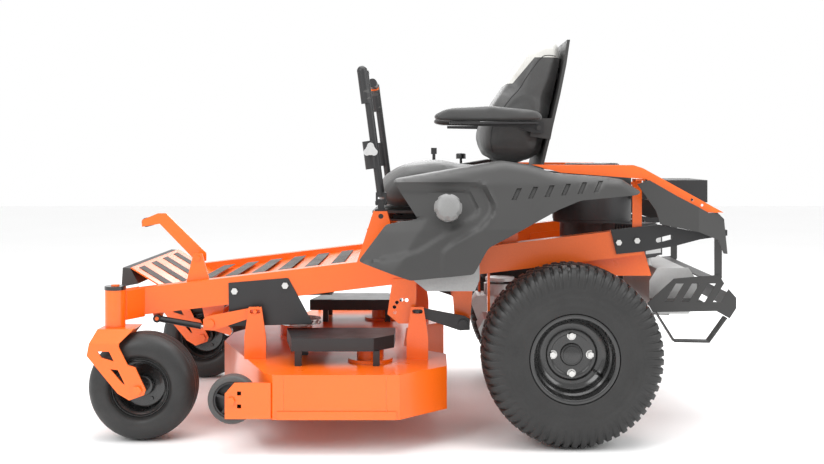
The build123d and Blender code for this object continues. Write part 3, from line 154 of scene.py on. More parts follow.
grey = surface("grey_plastic", (0.16, 0.16, 0.16), (0.22, 0.22, 0.215), patch=5, rough=(0.38, 0.5),
               grain=1100, bump=0.15)
# paler grey for the rounded edges: a painted highlight
grey_highlight = surface("grey_plastic_highlight", (0.25, 0.25, 0.25), (0.32, 0.32, 0.31), patch=20,
                    rough=(0.3, 0.4), grain=900, bump=0.08)
tyre = surface("tyre_rubber", (0.008, 0.008, 0.008), (0.019, 0.0185, 0.018), patch=9, rough=(0.42, 0.62),
               grain=800, bump=0.2, contrast=0.22)
rubber = surface("solid_rubber", (0.045, 0.045, 0.044), (0.085, 0.084, 0.082), patch=12, rough=(0.5, 0.7),
                 grain=700, bump=0.2)
vinyl = surface("seat_vinyl", (0.034, 0.034, 0.034), (0.05, 0.05, 0.049), patch=6, rough=(0.38, 0.52),
                grain=650, bump=0.35, sheen=0.15, cells=True, depth=0.0006)
pale_vinyl = surface("seat_vinyl_pale", (0.42, 0.415, 0.39), (0.52, 0.515, 0.49), patch=6,
                     rough=(0.42, 0.55), grain=650, bump=0.35, sheen=0.15, cells=True, depth=0.0006)
steel = surface("bare_steel", (0.55, 0.55, 0.54), (0.70, 0.69, 0.67), patch=30, rough=(0.22, 0.4),
                metallic=1.0, grain=1600, bump=0.08)
cast = surface("cast_aluminium", (0.50, 0.50, 0.50), (0.62, 0.62, 0.61), patch=12, rough=(0.38, 0.55),
               metallic=0.85, grain=500, bump=0.35, depth=0.0008)
gloss = surface("gloss_black", (0.010, 0.010, 0.010), (0.018, 0.018, 0.018), patch=8, rough=(0.2, 0.32),
                grain=600, bump=0.04, coat=0.5)
# grey-black for the rounded edges: a painted highlight
gloss_highlight = surface("gloss_black_highlight", (0.04, 0.04, 0.04), (0.10, 0.10, 0.10), patch=25,
                     rough=(0.2, 0.3), grain=900, bump=0.04, coat=0.3)
grit = surface("grip_tape", (0.055, 0.052, 0.050), (0.13, 0.125, 0.12), patch=8, rough=(0.75, 0.95),
               grain=1500, bump=0.9, contrast=0.2, depth=0.001)
thread = surface("orange_thread", (0.75, 0.12, 0.01), (0.95, 0.20, 0.03), patch=60, rough=(0.6, 0.8),
                 grain=2500, bump=0.5)
foam = surface("grip_foam", (0.045, 0.044, 0.043), (0.07, 0.069, 0.067), patch=10, rough=(0.6, 0.75),
               grain=1500, bump=0.4, sheen=0.2)
fuel_tank_plastic = surface("tank_plastic", (0.24, 0.24, 0.24), (0.34, 0.34, 0.335), patch=5,
                            rough=(0.35, 0.5), grain=600, bump=0.12)

# each look's material slot in the record, its face material and the one for rounded edges, which for paints
# and plastics is lighter: a painted highlight
LOOKS = {
    "orange_paint": ("orange_paint", orange, orange_highlight),
    "black_paint": ("black_paint", black, black_highlight),
    "charcoal_plastic": ("charcoal_plastic", charcoal, charcoal_highlight),
    "grey_plastic": ("grey_plastic", grey, grey_highlight),
    "tyre_rubber": ("tyre_rubber", tyre, tyre),
    "solid_rubber": ("solid_rubber", rubber, rubber),
    "seat_vinyl": ("seat_vinyl", vinyl, vinyl),
    "pale_vinyl": ("seat_vinyl", pale_vinyl, pale_vinyl),
    "bare_steel": ("bare_steel", steel, steel),
    "cast_aluminium": ("cast_aluminium", cast, cast),
    "gloss_black": ("gloss_black", gloss, gloss_highlight),
    "grip_tape": ("solid_rubber", grit, grit),
    "thread": ("orange_paint", thread, thread),
    "foam": ("solid_rubber", foam, foam),
    "tank": ("grey_plastic", fuel_tank_plastic, fuel_tank_plastic),
}


# ---------------------------------------------------------------- mesh helpers
def piece(name, bm, look, body, replaces=(), smooth=32):
    """Turns a bmesh into a named piece that rides a body, and stands for the given CAD nodes."""
    slot, face_finish, highlight_finish = LOOKS[look]
    bmesh.ops.remove_doubles(bm, verts=bm.verts, dist=1e-6)
    bmesh.ops.recalc_face_normals(bm, faces=bm.faces)
    mesh = bpy.data.meshes.new(name)
    bm.to_mesh(mesh)
    bm.free()
    mesh.materials.append(face_finish)
    # the second material, for rounded edges, is lighter: a painted highlight
    mesh.materials.append(highlight_finish)
    mesh.polygons.foreach_set("use_smooth", [True] * len(mesh.polygons))
    mesh.set_sharp_from_angle(angle=radians(smooth))
    made = bpy.data.objects.new(name, mesh)
    bpy.context.scene.collection.objects.link(made)
    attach(made, body)
    if replaces:
        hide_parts(*replaces)
    return made


def softened(points, radius, steps=4):
    """A closed outline with each corner turned into a short curve."""
    result = []
    count = len(points)
    for index, corner in enumerate(points):
        here = Vector(corner)
        before = Vector(points[index - 1]) - here
        after = Vector(points[(index + 1) % count]) - here
        reach_before = min(radius, before.length * 0.45)
        reach_after = min(radius, after.length * 0.45)
        start = here + before.normalized() * reach_before
        end = here + after.normalized() * reach_after
        for step in range(steps + 1):
            t = step / steps
            result.append(tuple(start * (1 - t) ** 2 + here * 2 * t * (1 - t) + end * t * t))
    return result


PLANES = {
    "side": lambda a, b, c: at(a, c, b),
    "plan": lambda a, b, c: at(a, b, c),
}


def prism(bm, outline, low, high, plane="side"):
    """An outline pushed between two places: a side outline is (x, z) and a plan one (x, y)."""
    place = PLANES[plane]
    near = [bm.verts.new(place(a, b, low)) for a, b in outline]
    far = [bm.verts.new(place(a, b, high)) for a, b in outline]
    bm.faces.new(near)
    bm.faces.new(far[::-1])
    count = len(outline)
    for index in range(count):
        following = (index + 1) % count
        bm.faces.new((near[index], far[index], far[following], near[following]))


AXES = {
    "y": lambda c, along, r, a: at(c[0] + r * sin(a), c[1] + along, c[2] + r * cos(a)),
    "z": lambda c, along, r, a: at(c[0] + r * sin(a), c[1] + r * cos(a), c[2] + along),
}


def lathe(bm, profile, centre, axis="y", segments=72):
    """A closed profile of (distance along the axis, radius) turned about an axis through a centre."""
    place = AXES[axis]
    rings = []
    for step in range(segments):
        angle = tau * step / segments
        rings.append([bm.verts.new(place(centre, along, r, angle)) for along, r in profile])
    count = len(profile)
    for step in range(segments):
        ring, following = rings[step], rings[(step + 1) % segments]
        for index in range(count):
            after = (index + 1) % count
            if profile[index][1] < 1e-6 and profile[after][1] < 1e-6:
                continue
            bm.faces.new((ring[index], ring[after], following[after], following[index]))


def disc(bm, centre, low, high, radius, axis="y", soft=1.5, segments=48, bore=0):
    """A turned drum with softened rims, with or without a bore."""
    soft = min(soft, (high - low) * 0.4, (radius - bore) * 0.4)
    outer = [(low, radius - soft), (low + soft * 0.3, radius - soft * 0.3), (low + soft, radius),
             (high - soft, radius), (high - soft * 0.3, radius - soft * 0.3), (high, radius - soft)]
    lathe(bm, [(low, bore), *outer, (high, bore)], centre, axis, segments)


def hexagon(bm, centre, low, high, across):
    """A hexagon head with chamfered corners, along the mower's y."""
    radius = across / sqrt(3)
    inner = radius * 0.9
    chamfer = (high - low) * 0.18
    profile = [(low, 0), (low, inner), (low + chamfer, radius),
               (high - chamfer, radius), (high, inner), (high, 0)]
    lathe(bm, profile, centre, segments=6)


def bolt(bm, centre, out, across, thick):
    """A flanged hexagon bolt; its head stands out towards +y, or towards -y where out is -1."""
    flange_thick, head_low = 2.2, 1.8
    disc(bm, centre, *sorted((0, out * flange_thick)), across * 0.72, soft=0.9, segments=32)
    hexagon(bm, centre, *sorted((out * head_low, out * thick)), across)


def smooth_path(points, steps=8):
    """Points along a smooth curve through the given points."""
    spots = [Vector(p) for p in points]
    result = []
    for index in range(len(spots) - 1):
        before = spots[max(index - 1, 0)]
        start, end = spots[index], spots[index + 1]
        after = spots[min(index + 2, len(spots) - 1)]
        for step in range(steps):
            t = step / steps
            squared = (2 * before - 5 * start + 4 * end - after) * t * t
            cubed = (3 * start - before - 3 * end + after) * t ** 3
            result.append(0.5 * ((2 * start) + (end - before) * t + squared + cubed))
    result.append(spots[-1])
    return result


def tube(bm, path, radius, sides=14, radii=None, metres=False):
    """A round bar along a path, closed at both ends; radii may give one radius per point."""
    spots = [Vector(p) if metres else at(*p) for p in path]
    count = len(spots)
    sizes = radii or [radius] * count
    direction = (spots[1] - spots[0]).normalized()
    side = direction.orthogonal().normalized()
    rings = []
    for index, spot in enumerate(spots):
        ahead = spots[min(index + 1, count - 1)] - spots[max(index - 1, 0)]
        ahead.normalize()
        side = (side - ahead * side.dot(ahead)).normalized()
        up = ahead.cross(side)
        size = sizes[index] * MM
        turns = [tau * k / sides for k in range(sides)]
        rings.append([bm.verts.new(spot + (side * cos(turn) + up * sin(turn)) * size) for turn in turns])
    for ring, following in zip(rings, rings[1:]):
        for k in range(sides):
            after = (k + 1) % sides
            bm.faces.new((ring[k], ring[after], following[after], following[k]))
    bm.faces.new(rings[0][::-1])
    bm.faces.new(rings[-1])


def rounded(bm, width, segments=2):
    """Rounds the sharp edges of a bmesh; the new faces take the look's edge finish, which is lighter: a
    painted highlight.
    """
    sharp_angle = radians(28)
    shortest = 2.2 * width * MM
    sharp = [e for e in bm.edges if len(e.link_faces) == 2 and e.calc_face_angle(0) > sharp_angle
             and e.calc_length() > shortest]
    if sharp:
        # the bevel faces take material 1, the lighter edge finish that paints a highlight
        bmesh.ops.bevel(bm, geom=sharp, offset=width * MM, offset_type="OFFSET", segments=segments,
                        profile=0.5, affect="EDGES", clamp_overlap=True, material=1)


def islands(node):
    """The loose parts of a CAD node: (middle, size, bmesh) of each, in millimetres."""
    whole = bmesh.new()
    whole.from_mesh(frame["nodes"][node].data)
    bmesh.ops.remove_doubles(whole, verts=whole.verts, dist=2e-6)
    bmesh.ops.dissolve_limit(whole, angle_limit=radians(1), verts=whole.verts, edges=whole.edges)
    whole.verts.ensure_lookup_table()
    seen = set()
    found = []
    for vert in whole.verts:
        if vert.index in seen:
            continue
        group, waiting = [], [vert]
        seen.add(vert.index)
        while waiting:
            current = waiting.pop()
            group.append(current)
            for edge in current.link_edges:
                other = edge.other_vert(current)
                if other.index not in seen:
                    seen.add(other.index)
                    waiting.append(other)
        copy = bmesh.new()
        twins = {v.index: copy.verts.new(v.co) for v in group}
        faces = {face for v in group for face in v.link_faces}
        for face in sorted(faces, key=lambda f: f.index):
            copy.faces.new([twins[v.index] for v in face.verts])
        spots = [mower(v.co) for v in group]
        low = Vector([min(s[k] for s in spots) for k in range(3)])
        high = Vector([max(s[k] for s in spots) for k in range(3)])
        found.append(((low + high) / 2, high - low, copy))
    whole.free()
    return found


def merged(parts):
    """Several bmeshes as one."""
    whole = bmesh.new()
    for part in parts:
        mesh = bpy.data.meshes.new("part")
        part.to_mesh(mesh)
        part.free()
        whole.from_mesh(mesh)
        bpy.data.meshes.remove(mesh)
    return whole


def carried(node, width=1.5, look=None, segments=2, split=None):
    """Rounded copies of a CAD node's loose parts; split gives some a look by their middle and size."""
    groups = {}
    for middle, size, part in islands(node):
        chosen = (split and split(middle, size)) or look or NODE_SLOT[node]
        if chosen == LEFT_OUT:
            part.free()
            continue
        rounded(part, width, segments)
        groups.setdefault(chosen, []).append(part)
    for chosen, parts in sorted(groups.items()):
        piece(f"{node}_{chosen}_look", merged(parts), chosen, NODE_BODY[node], [node])


# ---------------------------------------------------------------- stage
def add_stage():
    """Pale floor, soft light and the camera."""
    scene = bpy.context.scene
    scene.view_settings.view_transform = "Standard"
    floor_finish = surface("floor", (0.93, 0.93, 0.93), (0.96, 0.96, 0.96), patch=1,
                           rough=(0.6, 0.7), grain=200, bump=0.02)
    bm = bmesh.new()
    size, floor_z = 14, -0.0005
    corners = [(-size, -size), (size, -size), (size, size), (-size, size)]
    bm.faces.new([bm.verts.new((x, y, floor_z)) for x, y in corners])
    mesh = bpy.data.meshes.new("floor")
    bm.to_mesh(mesh)
    bm.free()
    mesh.materials.append(floor_finish)
    floor = bpy.data.objects.new("floor", mesh)
    scene.collection.objects.link(floor)
    world = bpy.data.worlds.new("studio")
    world.use_nodes = True
    world.node_tree.nodes["Background"].inputs["Color"].default_value = (1, 1, 1, 1)
    world.node_tree.nodes["Background"].inputs["Strength"].default_value = 1.0
    scene.world = world
    # each light's name, place, turn, width and power
    lights = (
        ("overhead", (0.2, -0.3, 3.6), (0, 0, 0), 3.6, 120),
        ("key", (-2.6, -3.4, 3.0), (radians(48), 0, radians(-37)), 2.2, 75),
        ("rear_fill", (3.2, -2.2, 2.2), (radians(58), 0, radians(55)), 1.8, 40),
        ("far_fill", (0.3, 3.6, 2.6), (radians(-52), 0, 0), 2.4, 60),
    )
    for name, place, turn, width, power in lights:
        light = bpy.data.lights.new(name, "AREA")
        light.shape = "SQUARE"
        light.size = width
        light.energy = power
        lamp = bpy.data.objects.new(name, light)
        lamp.location = place
        lamp.rotation_euler = turn
        scene.collection.objects.link(lamp)
    camera = bpy.data.cameras.new("camera")
    camera.lens = 47.9
    camera.shift_x = -0.0231
    camera.shift_y = -0.0971
    holder = bpy.data.objects.new("camera", camera)
    holder.location = at(49, -3880, 888)
    holder.rotation_euler = (radians(90), 0, 0)
    scene.collection.objects.link(holder)
    scene.camera = holder


add_stage()


# ---------------------------------------------------------------- painted steel carried over from the frame
def small_parts(limit, look="bare_steel"):
    """Gives a look to the loose parts below a size, such as bolts, and leaves the rest as they are."""
    return lambda middle, size: look if max(size) < limit else None


def rear_bar_look(middle, size):
    """Bare bolts, black lower brackets, and bars in the node's own paint."""
    if max(size) < 30:
        return "bare_steel"
    return "black_paint" if middle.z < 700 else None


def pedal_look(middle, size):
    """The pad at the front end is rubber."""
    return "solid_rubber" if middle.x < -860 else None


carried("frame_rails", 5, segments=3)
carried("caster_housings", 2)
carried("floor_tubes", 3)
carried("seat_riser", 2)
carried("engine_tray", 2)
carried("hanger_brackets", 1.2)
carried("engine_shroud", 5, "black_paint", segments=3)
carried("engine_block", 3, "black_paint")
carried("transaxles", 4, "cast_aluminium")
carried("nose_panel", 4, segments=3)
carried("muffler", 5, "cast_aluminium", segments=3)
carried("muffler_guard", 1.0, "charcoal_plastic")
carried("rear_bar", 3, split=rear_bar_look)
carried("corner_panels", 3)
carried("side_steps", 1.2, split=small_parts(30))
carried("foot_platform", 1.5)
carried("seat_pan", 2, "black_paint")
carried("seat_shell", 3, "charcoal_plastic")
carried("deck_shell", 1.5)
carried("deck_brackets", 1.5)
carried("belt_covers", 4, "black_paint", segments=3)
carried("chute", 2, "charcoal_plastic")
carried("clutch_pulley", 1.5, "bare_steel")
carried("lift_front", 1.5)
carried("lift_rear", 1.5)
carried("strut_cylinders", 1.5, "black_paint")
carried("strut_rods", 1, "bare_steel")
carried("lift_pedal", 3, split=pedal_look)
for name in SIDE_NAMES.values():
    carried(f"caster_fork_{name}", 2, split=small_parts(80, "gloss_black"))
    carried(f"lever_base_{name}", 1.5, "black_paint")
for name in ("left", "mid", "right"):
    carried(f"spindle_{name}", 1.5, "bare_steel")
    carried(f"blade_{name}", 1, "bare_steel")

# ---------------------------------------------------------------- wheels
# each axle's (x, z), and how far its wheels' middles stand from the centreline
REAR_AXLE = (475, 274)
FRONT_AXLE = (-842, 165)
SCALP_AXLE = (-537, 159)
REAR_WHEEL_Y = 520
CASTER_Y = 470
SCALP_WHEEL_Y = 638.5
LUG_CIRCLE = 57.15


def closed_ring(outer, inner):
    """A closed wheel profile from the outer and inner lines of its positive half."""
    outline = [(-a, r) for a, r in reversed(outer)] + outer[1:]
    inside = [(-a, r) for a, r in reversed(inner)] + inner[1:]
    return outline + inside[::-1]


def tread_bar(bm, x, y, z, line, angle, slant, width):
    """One raised rubber bar that follows a line of (across, radius) points over the tread."""
    rows = []
    count = len(line)
    for index, (across, radius) in enumerate(line):
        share = index / (count - 1)
        turn = angle + slant * (share - 0.3) / radius
        half = width * (1 - 0.35 * share ** 3) / 2
        # the bar's cross-section, as (offset along the tread, drop below its top)
        section = [(-half - 1.5, 9), (-half, 1.6), (-half + 1.8, 0),
                   (half - 1.8, 0), (half, 1.6), (half + 1.5, 9)]
        row = []
        for offset, drop in section:
            a = turn + offset / radius
            r = radius - drop
            row.append(bm.verts.new(at(x + r * sin(a), y + across, z + r * cos(a))))
        rows.append(row)
    for row, following in zip(rows, rows[1:]):
        for k in range(len(row) - 1):
            bm.faces.new((row[k], row[k + 1], following[k + 1], following[k]))
    bm.faces.new(rows[0])
    bm.faces.new(rows[-1][::-1])


def build_rear_tyre(side):
    """Turf tyre: a carcass with ringed side walls, shoulder bars and a row of short centre bars."""
    x, z = REAR_AXLE
    y = side * REAR_WHEEL_Y
    outer = [(0, 266), (60, 265.5), (92, 261), (108, 252), (116, 240), (121, 226), (123, 214),
             (124.4, 206), (123.4, 203), (124.6, 199), (124, 186), (123, 182), (123.6, 177), (122.5, 164),
             (120.5, 156), (121.5, 151), (120, 144), (121, 136), (116, 134.3)]
    inner = [(0, 252), (90, 248), (110, 236), (114, 200), (112, 160), (108, 146), (110, 136)]
    bm = bmesh.new()
    lathe(bm, closed_ring(outer, inner), (x, y, z), segments=124)
    bars = 62
    shoulder_line = ((44, 273.6), (66, 273.2), (88, 270.5), (103, 264), (113, 253), (119, 240),
                     (122.8, 226), (124, 216))
    middle_line = ((3, 274), (14, 274), (26, 273.9), (36, 273.8))
    for way in SIDES:
        shoulder = [(way * a, r) for a, r in shoulder_line]
        middle = [(way * a, r) for a, r in middle_line]
        for number in range(bars):
            angle = tau * (number + (0.5 if way > 0 else 0)) / bars
            tread_bar(bm, x, y, z, shoulder, angle, way * 9, 17)
            tread_bar(bm, x, y, z, middle, angle + 0.4 * tau / bars, -way * 16, 15)
    name = SIDE_NAMES[side]
    piece(f"rear_tyre_{name}_look", bm, "tyre_rubber", f"rear_wheel_{name}", [f"rear_tyre_{name}"],
          smooth=40)


def build_front_tyre(side):
    """Smooth caster tyre with a soft shoulder, a raised ring and two grooves on the crown."""
    x, z = FRONT_AXLE
    outer = [(0, 164.8), (10, 164.7), (12, 162.8), (15, 162.8), (17, 164.4), (30, 163.4), (32, 161.4),
             (35, 161.2), (37, 162.2), (48, 157.5), (58, 149), (65, 138), (68.4, 126), (69.4, 117),
             (68.6, 112), (69, 108), (66.5, 101), (61, 95), (56, 92.5), (57, 90), (50, 88.4)]
    inner = [(0, 150), (40, 148), (56, 134), (58, 112), (50, 98), (46.5, 89)]
    bm = bmesh.new()
    lathe(bm, closed_ring(outer, inner), (x, side * CASTER_Y, z), segments=96)
    name = SIDE_NAMES[side]
    piece(f"front_tyre_{name}_look", bm, "tyre_rubber", f"front_wheel_{name}", [f"front_tyre_{name}"],
          smooth=40)


def build_rear_rim(side):
    """Deep-dish rim with a pressed disc, hub and four lug bolts."""
    x, z = REAR_AXLE
    y = side * REAR_WHEEL_Y
    inward = -side  # the profile is drawn for the left-hand wheel, whose outer face looks to -y
    rim = [(-120, 134), (-112, 133.5), (-112, 124), (-78, 122), (-70, 112), (60, 112), (70, 122),
           (112, 124), (112, 133.5), (120, 134), (120, 120), (72, 118), (64, 108), (-30, 108), (-30, 33),
           (-34, 33), (-34, 60), (-37, 64), (-37, 74), (-34, 78), (-34, 92), (-44, 106), (-72, 108),
           (-80, 118), (-117, 120), (-120, 124)]
    bm = bmesh.new()
    lathe(bm, softened([(inward * a, r) for a, r in rim], 3.5, 3), (x, y, z), segments=96)
    # the hub's steps, as (radius, from, to) measured inwards from the disc's outer face
    face = inward * -34
    for radius, low, high in ((32.5, -6, 0), (27, -14, -5), (72, 4, 14), (34, 14, 40), (15, 40, 121)):
        disc(bm, (x, y, z), *sorted((face + inward * low, face + inward * high)), radius, soft=2)
    valve_circle, valve_angle, valve_length = 88, 2.2, 26
    valve = (x + valve_circle * sin(valve_angle), y, z + valve_circle * cos(valve_angle))
    disc(bm, valve, *sorted((face, face - inward * valve_length)), 4.5, segments=16)
    name = SIDE_NAMES[side]
    piece(f"rear_rim_{name}_look", bm, "gloss_black", f"rear_wheel_{name}", [f"rear_rim_{name}"])
    bm = bmesh.new()
    for spot in range(4):
        angle = tau * spot / 4
        bolt(bm, (x + LUG_CIRCLE * sin(angle), y + face, z + LUG_CIRCLE * cos(angle)), -inward, 19, 12)
    piece(f"rear_lugs_{name}", bm, "bare_steel", f"rear_wheel_{name}")


def build_front_rim(side):
    """Small pressed rim with its hub tube and its bolts."""
    x, z = FRONT_AXLE
    y = side * CASTER_Y
    half = [(4, 30), (4, 66), (10, 71), (44, 73), (50, 83), (55, 84.5), (54, 88), (46, 88), (40, 76), (0, 70)]
    rim = half + [(-a, r) for a, r in reversed(half[:-1])]
    bm = bmesh.new()
    lathe(bm, softened(rim, 2.5, 3), (x, y, z), segments=80)
    disc(bm, (x, y, z), -76, 76, 20, bore=9.6)
    web, bolt_circle = 4, 48
    for way in SIDES:
        disc(bm, (x, y, z), *sorted((way * web, way * 22)), 31, soft=4, bore=20)
        for number in range(3):
            angle = tau * (number + 0.25) / 3
            centre = (x + bolt_circle * sin(angle), y, z + bolt_circle * cos(angle))
            hexagon(bm, centre, *sorted((way * web, way * 9)), 11)
    name = SIDE_NAMES[side]
    piece(f"front_rim_{name}_look", bm, "gloss_black", f"front_wheel_{name}", [f"front_rim_{name}"])


def build_scalp_wheel(side):
    """Small solid wheel with a pale rubber tread and a spoked centre."""
    x, z = SCALP_AXLE
    y = side * SCALP_WHEEL_Y
    bm = bmesh.new()
    profile = [(-25, 54), (-25, 66), (-20, 71), (0, 72), (20, 71), (25, 66), (25, 54)]
    lathe(bm, softened(profile, 3, 3), (x, y, z), segments=64)
    name = SIDE_NAMES[side]
    piece(f"scalp_tread_{name}", bm, "solid_rubber", f"scalp_wheel_{name}", [f"scalp_wheel_{name}"])
    bm = bmesh.new()
    disc(bm, (x, y, z), -25, 25, 20, bore=8.1)
    disc(bm, (x, y, z), -22, 22, 54, bore=48, soft=2)
    disc(bm, (x, y, z), -4, 4, 50, bore=18, soft=1)
    for number in range(5):
        angle = tau * number / 5
        along, across = Vector((sin(angle), cos(angle))), Vector((cos(angle), -sin(angle)))
        corners = [along * reach + across * half for reach, half in ((17, 4), (51, 4), (51, -4), (17, -4))]
        prism(bm, [(x + c.x, z + c.y) for c in corners], y - 19, y + 19)
    piece(f"scalp_centre_{name}", bm, "black_paint", f"scalp_wheel_{name}")


for side in SIDES:
    build_rear_tyre(side)
    build_front_tyre(side)
    build_rear_rim(side)
    build_front_rim(side)
    build_scalp_wheel(side)


# ---------------------------------------------------------------- seat
def lofted(outline, half, inset, steps=14, power=3.0):
    """A pillow-like form: a side outline carried across, drawn in towards its middle near both ends."""
    bm = bmesh.new()
    centre = Vector((sum(p[0] for p in outline) / len(outline), sum(p[1] for p in outline) / len(outline)))
    rows = []
    for step in range(steps + 1):
        share = -1 + 2 * step / steps
        share = sin(share * pi / 2)
        draw = inset * (1 - (1 - abs(share) ** power) ** (1 / power))
        row = []
        for point in outline:
            offset = Vector(point) - centre
            scale = max(0.0, 1 - draw / max(offset.length, 1))
            spot = centre + offset * scale
            row.append(bm.verts.new(at(spot.x, share * half, spot.y)))
        rows.append(row)
    count = len(outline)
    for row, following in zip(rows, rows[1:]):
        for k in range(count):
            after = (k + 1) % count
            bm.faces.new((row[k], row[after], following[after], following[k]))
    bm.faces.new(rows[0][::-1])
    bm.faces.new(rows[-1])
    return bm


def stuffed(name, bm, body, node, cap, voxel=0.006, flat_below=None):
    """A padded piece: remeshed, swollen as cloth under pressure, with its movement capped, then smoothed.

    A point that starts lower than flat_below keeps its height, so that the piece stays flat where it rests.
    """
    slot, face_finish, _ = LOOKS["seat_vinyl"]
    pressure, frames, smoothings = 4, 20, 3
    mesh = bpy.data.meshes.new(name)
    bmesh.ops.recalc_face_normals(bm, faces=bm.faces)
    bm.to_mesh(mesh)
    bm.free()
    made = bpy.data.objects.new(name, mesh)
    scene = bpy.context.scene
    scene.collection.objects.link(made)
    bpy.context.view_layer.objects.active = made
    remesh = made.modifiers.new("remesh", "REMESH")
    remesh.mode = "VOXEL"
    remesh.voxel_size = voxel
    bpy.ops.object.select_all(action="DESELECT")
    made.select_set(True)
    bpy.ops.object.modifier_apply(modifier="remesh")
    before = [v.co.copy() for v in made.data.vertices]
    cloth = made.modifiers.new("cloth", "CLOTH")
    cloth.settings.use_pressure = True
    cloth.settings.uniform_pressure_force = pressure
    cloth.settings.effector_weights.gravity = 0
    cloth.settings.quality = 4
    scene.frame_start, scene.frame_end = 1, frames
    for number in range(1, frames + 1):
        scene.frame_set(number)
    posed = made.evaluated_get(bpy.context.evaluated_depsgraph_get())
    after = [v.co.copy() for v in posed.data.vertices]
    made.modifiers.remove(cloth)
    for vert, start, end in zip(made.data.vertices, before, after):
        move = end - start
        if move.length > cap:
            move *= cap / move.length
        if flat_below is not None and start.z < flat_below * MM:
            move.z = 0
        vert.co = start + move
    scene.frame_set(1)
    bm = bmesh.new()
    bm.from_mesh(made.data)
    for _ in range(smoothings):
        bmesh.ops.smooth_vert(bm, verts=bm.verts, factor=0.5,
                              use_axis_x=True, use_axis_y=True, use_axis_z=True)
    bm.to_mesh(made.data)
    bm.free()
    made.data.materials.append(face_finish)
    made.data.polygons.foreach_set("use_smooth", [True] * len(made.data.polygons))
    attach(made, body)
    if node:
        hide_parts(node)
    return made


def surface_tree(made):
    """A search tree over a finished piece, in the row frame."""
    bm = bmesh.new()
    bm.from_mesh(made.data)
    tree = BVHTree.FromBMesh(bm)
    bm.free()
    return tree


def on_skin(tree, path, lift):
    """Row-frame points on a piece's skin nearest to a path, lifted off it."""
    spots = []
    for point in path:
        place, normal, _, _ = tree.find_nearest(at(*point))
        spots.append(place + normal * lift * MM)
    return spots


def build_headrest(back):
    """The headrest's pale panels: the back cushion's own skin above its seams, lifted a little."""
    seam_z, low_z = 1205, 1120
    panels = {
        "headrest_top": [((0, 0, seam_z), (0, 0, 1))],
        "headrest_front": [((0, 0, low_z), (0, 0, 1)), ((0, 0, seam_z), (0, 0, -1)),
                           ((396, 0, seam_z), (-0.77, 0, 0.64))],
    }
    for label, planes in panels.items():
        panel = bmesh.new()
        panel.from_mesh(back.data)
        for point, normal in planes:
            whole = panel.verts[:] + panel.edges[:] + panel.faces[:]
            bmesh.ops.bisect_plane(panel, geom=whole, plane_co=at(*point), plane_no=normal, clear_inner=True)
        for vert in panel.verts:
            vert.co += vert.normal * 0.0006
        bmesh.ops.solidify(panel, geom=panel.faces[:], thickness=0.0012)
        piece(label, panel, "pale_vinyl", "seat", smooth=60)


def build_seat():
    """Cushion and high back with headrest, piping and stitching."""
    cushion_line = softened([(-128, 706), (384, 706), (390, 794), (374, 826), (170, 832), (66, 853),
                             (-52, 836), (-128, 786), (-154, 742)], 40, 5)
    cushion = stuffed("seat_cushion_look", lofted(cushion_line, 240, 70), "seat", "seat_cushion", cap=0.011,
                      flat_below=712)
    back_line = softened([(404, 852), (431, 960), (459, 1080), (479, 1180), (491, 1258), (474, 1277),
                          (437, 1280), (402, 1252), (344, 1164), (273, 1064), (219, 966), (214, 902),
                          (228, 862)], 36, 5)
    back = stuffed("back_cushion_look", lofted(back_line, 218, 80, power=3.6), "seat", "back_cushion",
                   cap=0.009)
    build_headrest(back)
    # a seam round each side of the back, with stitches from its middle upwards
    seam_line = ((250, 870), (246, 920), (256, 985), (300, 1056), (366, 1140), (414, 1200), (440, 1212),
                 (482, 1206))
    first_stitch = 36
    seams = bmesh.new()
    stitches = bmesh.new()
    back_tree = surface_tree(back)
    for side in SIDES:
        path = on_skin(back_tree, smooth_path([(x, side * 214, z) for x, z in seam_line]), 0.4)
        tube(seams, path, 1.6, sides=8, metres=True)
        for spot, following in zip(path[first_stitch:], path[first_stitch + 1:]):
            direction = following - spot
            if direction.length < 1e-4:
                continue
            tube(stitches, [spot, spot + direction * 0.55], 1.3, sides=6, metres=True)
    # a line of piping round each side of the cushion
    piping_line = ((-150, 760), (-120, 806), (-50, 842), (62, 858), (160, 840), (300, 832), (384, 820))
    piping = bmesh.new()
    cushion_tree = surface_tree(cushion)
    for side in SIDES:
        path = on_skin(cushion_tree, smooth_path([(x, side * 243, z) for x, z in piping_line]), 0.5)
        tube(piping, path, 3.2, sides=8, metres=True)
    piece("back_seams", seams, "black_paint", "seat")
    piece("back_stitches", stitches, "thread", "seat")
    piece("cushion_piping", piping, "pale_vinyl", "seat")


def arm_look(middle, size):
    """Leaves out the plain pad, because a stuffed one takes its place."""
    return LEFT_OUT if size.y > 60 and size.z > 45 else None


def build_armrest(side):
    """Padded rest on its folding arm."""
    name = SIDE_NAMES[side]
    carried(f"armrest_{name}", 2, "black_paint", split=arm_look)
    outline = softened([(56, 999), (68, 992), (410, 992), (417, 1003), (400, 1021), (242, 1036), (96, 1028),
                        (62, 1012)], 14, 4)
    bm = lofted(outline, 34, 14, steps=10, power=2.6)
    pad_y = 281
    for vert in bm.verts:
        vert.co.y += side * pad_y * MM
    stuffed(f"armrest_pad_{name}", bm, f"armrest_{name}", None, cap=0.003, voxel=0.005)


build_seat()
for side in SIDES:
    build_armrest(side)


# ---------------------------------------------------------------- fenders
# the side panel's outline, its top edge, the crease across it and the edge of the pocket in front, as (x, z)
FENDER = [(-172, 556), (-12, 502), (177, 521), (221, 600), (435, 714), (502, 741), (673, 757), (689, 767),
          (633, 805), (435, 821), (348, 850), (273, 861), (-69, 802), (10, 684), (-89, 666)]
FENDER_TOP = FENDER[7:13]
CREASE = [(-69, 800), (43, 797), (136, 799), (188, 796), (220, 783), (245, 723), (240, 698), (199, 652),
          (116, 605), (93, 584), (89, 500)]
POCKET = [(-40, 780), (60, 776), (168, 775), (199, 713), (191, 695), (96, 636), (13, 585), (-54, 564),
          (-90, 560)]
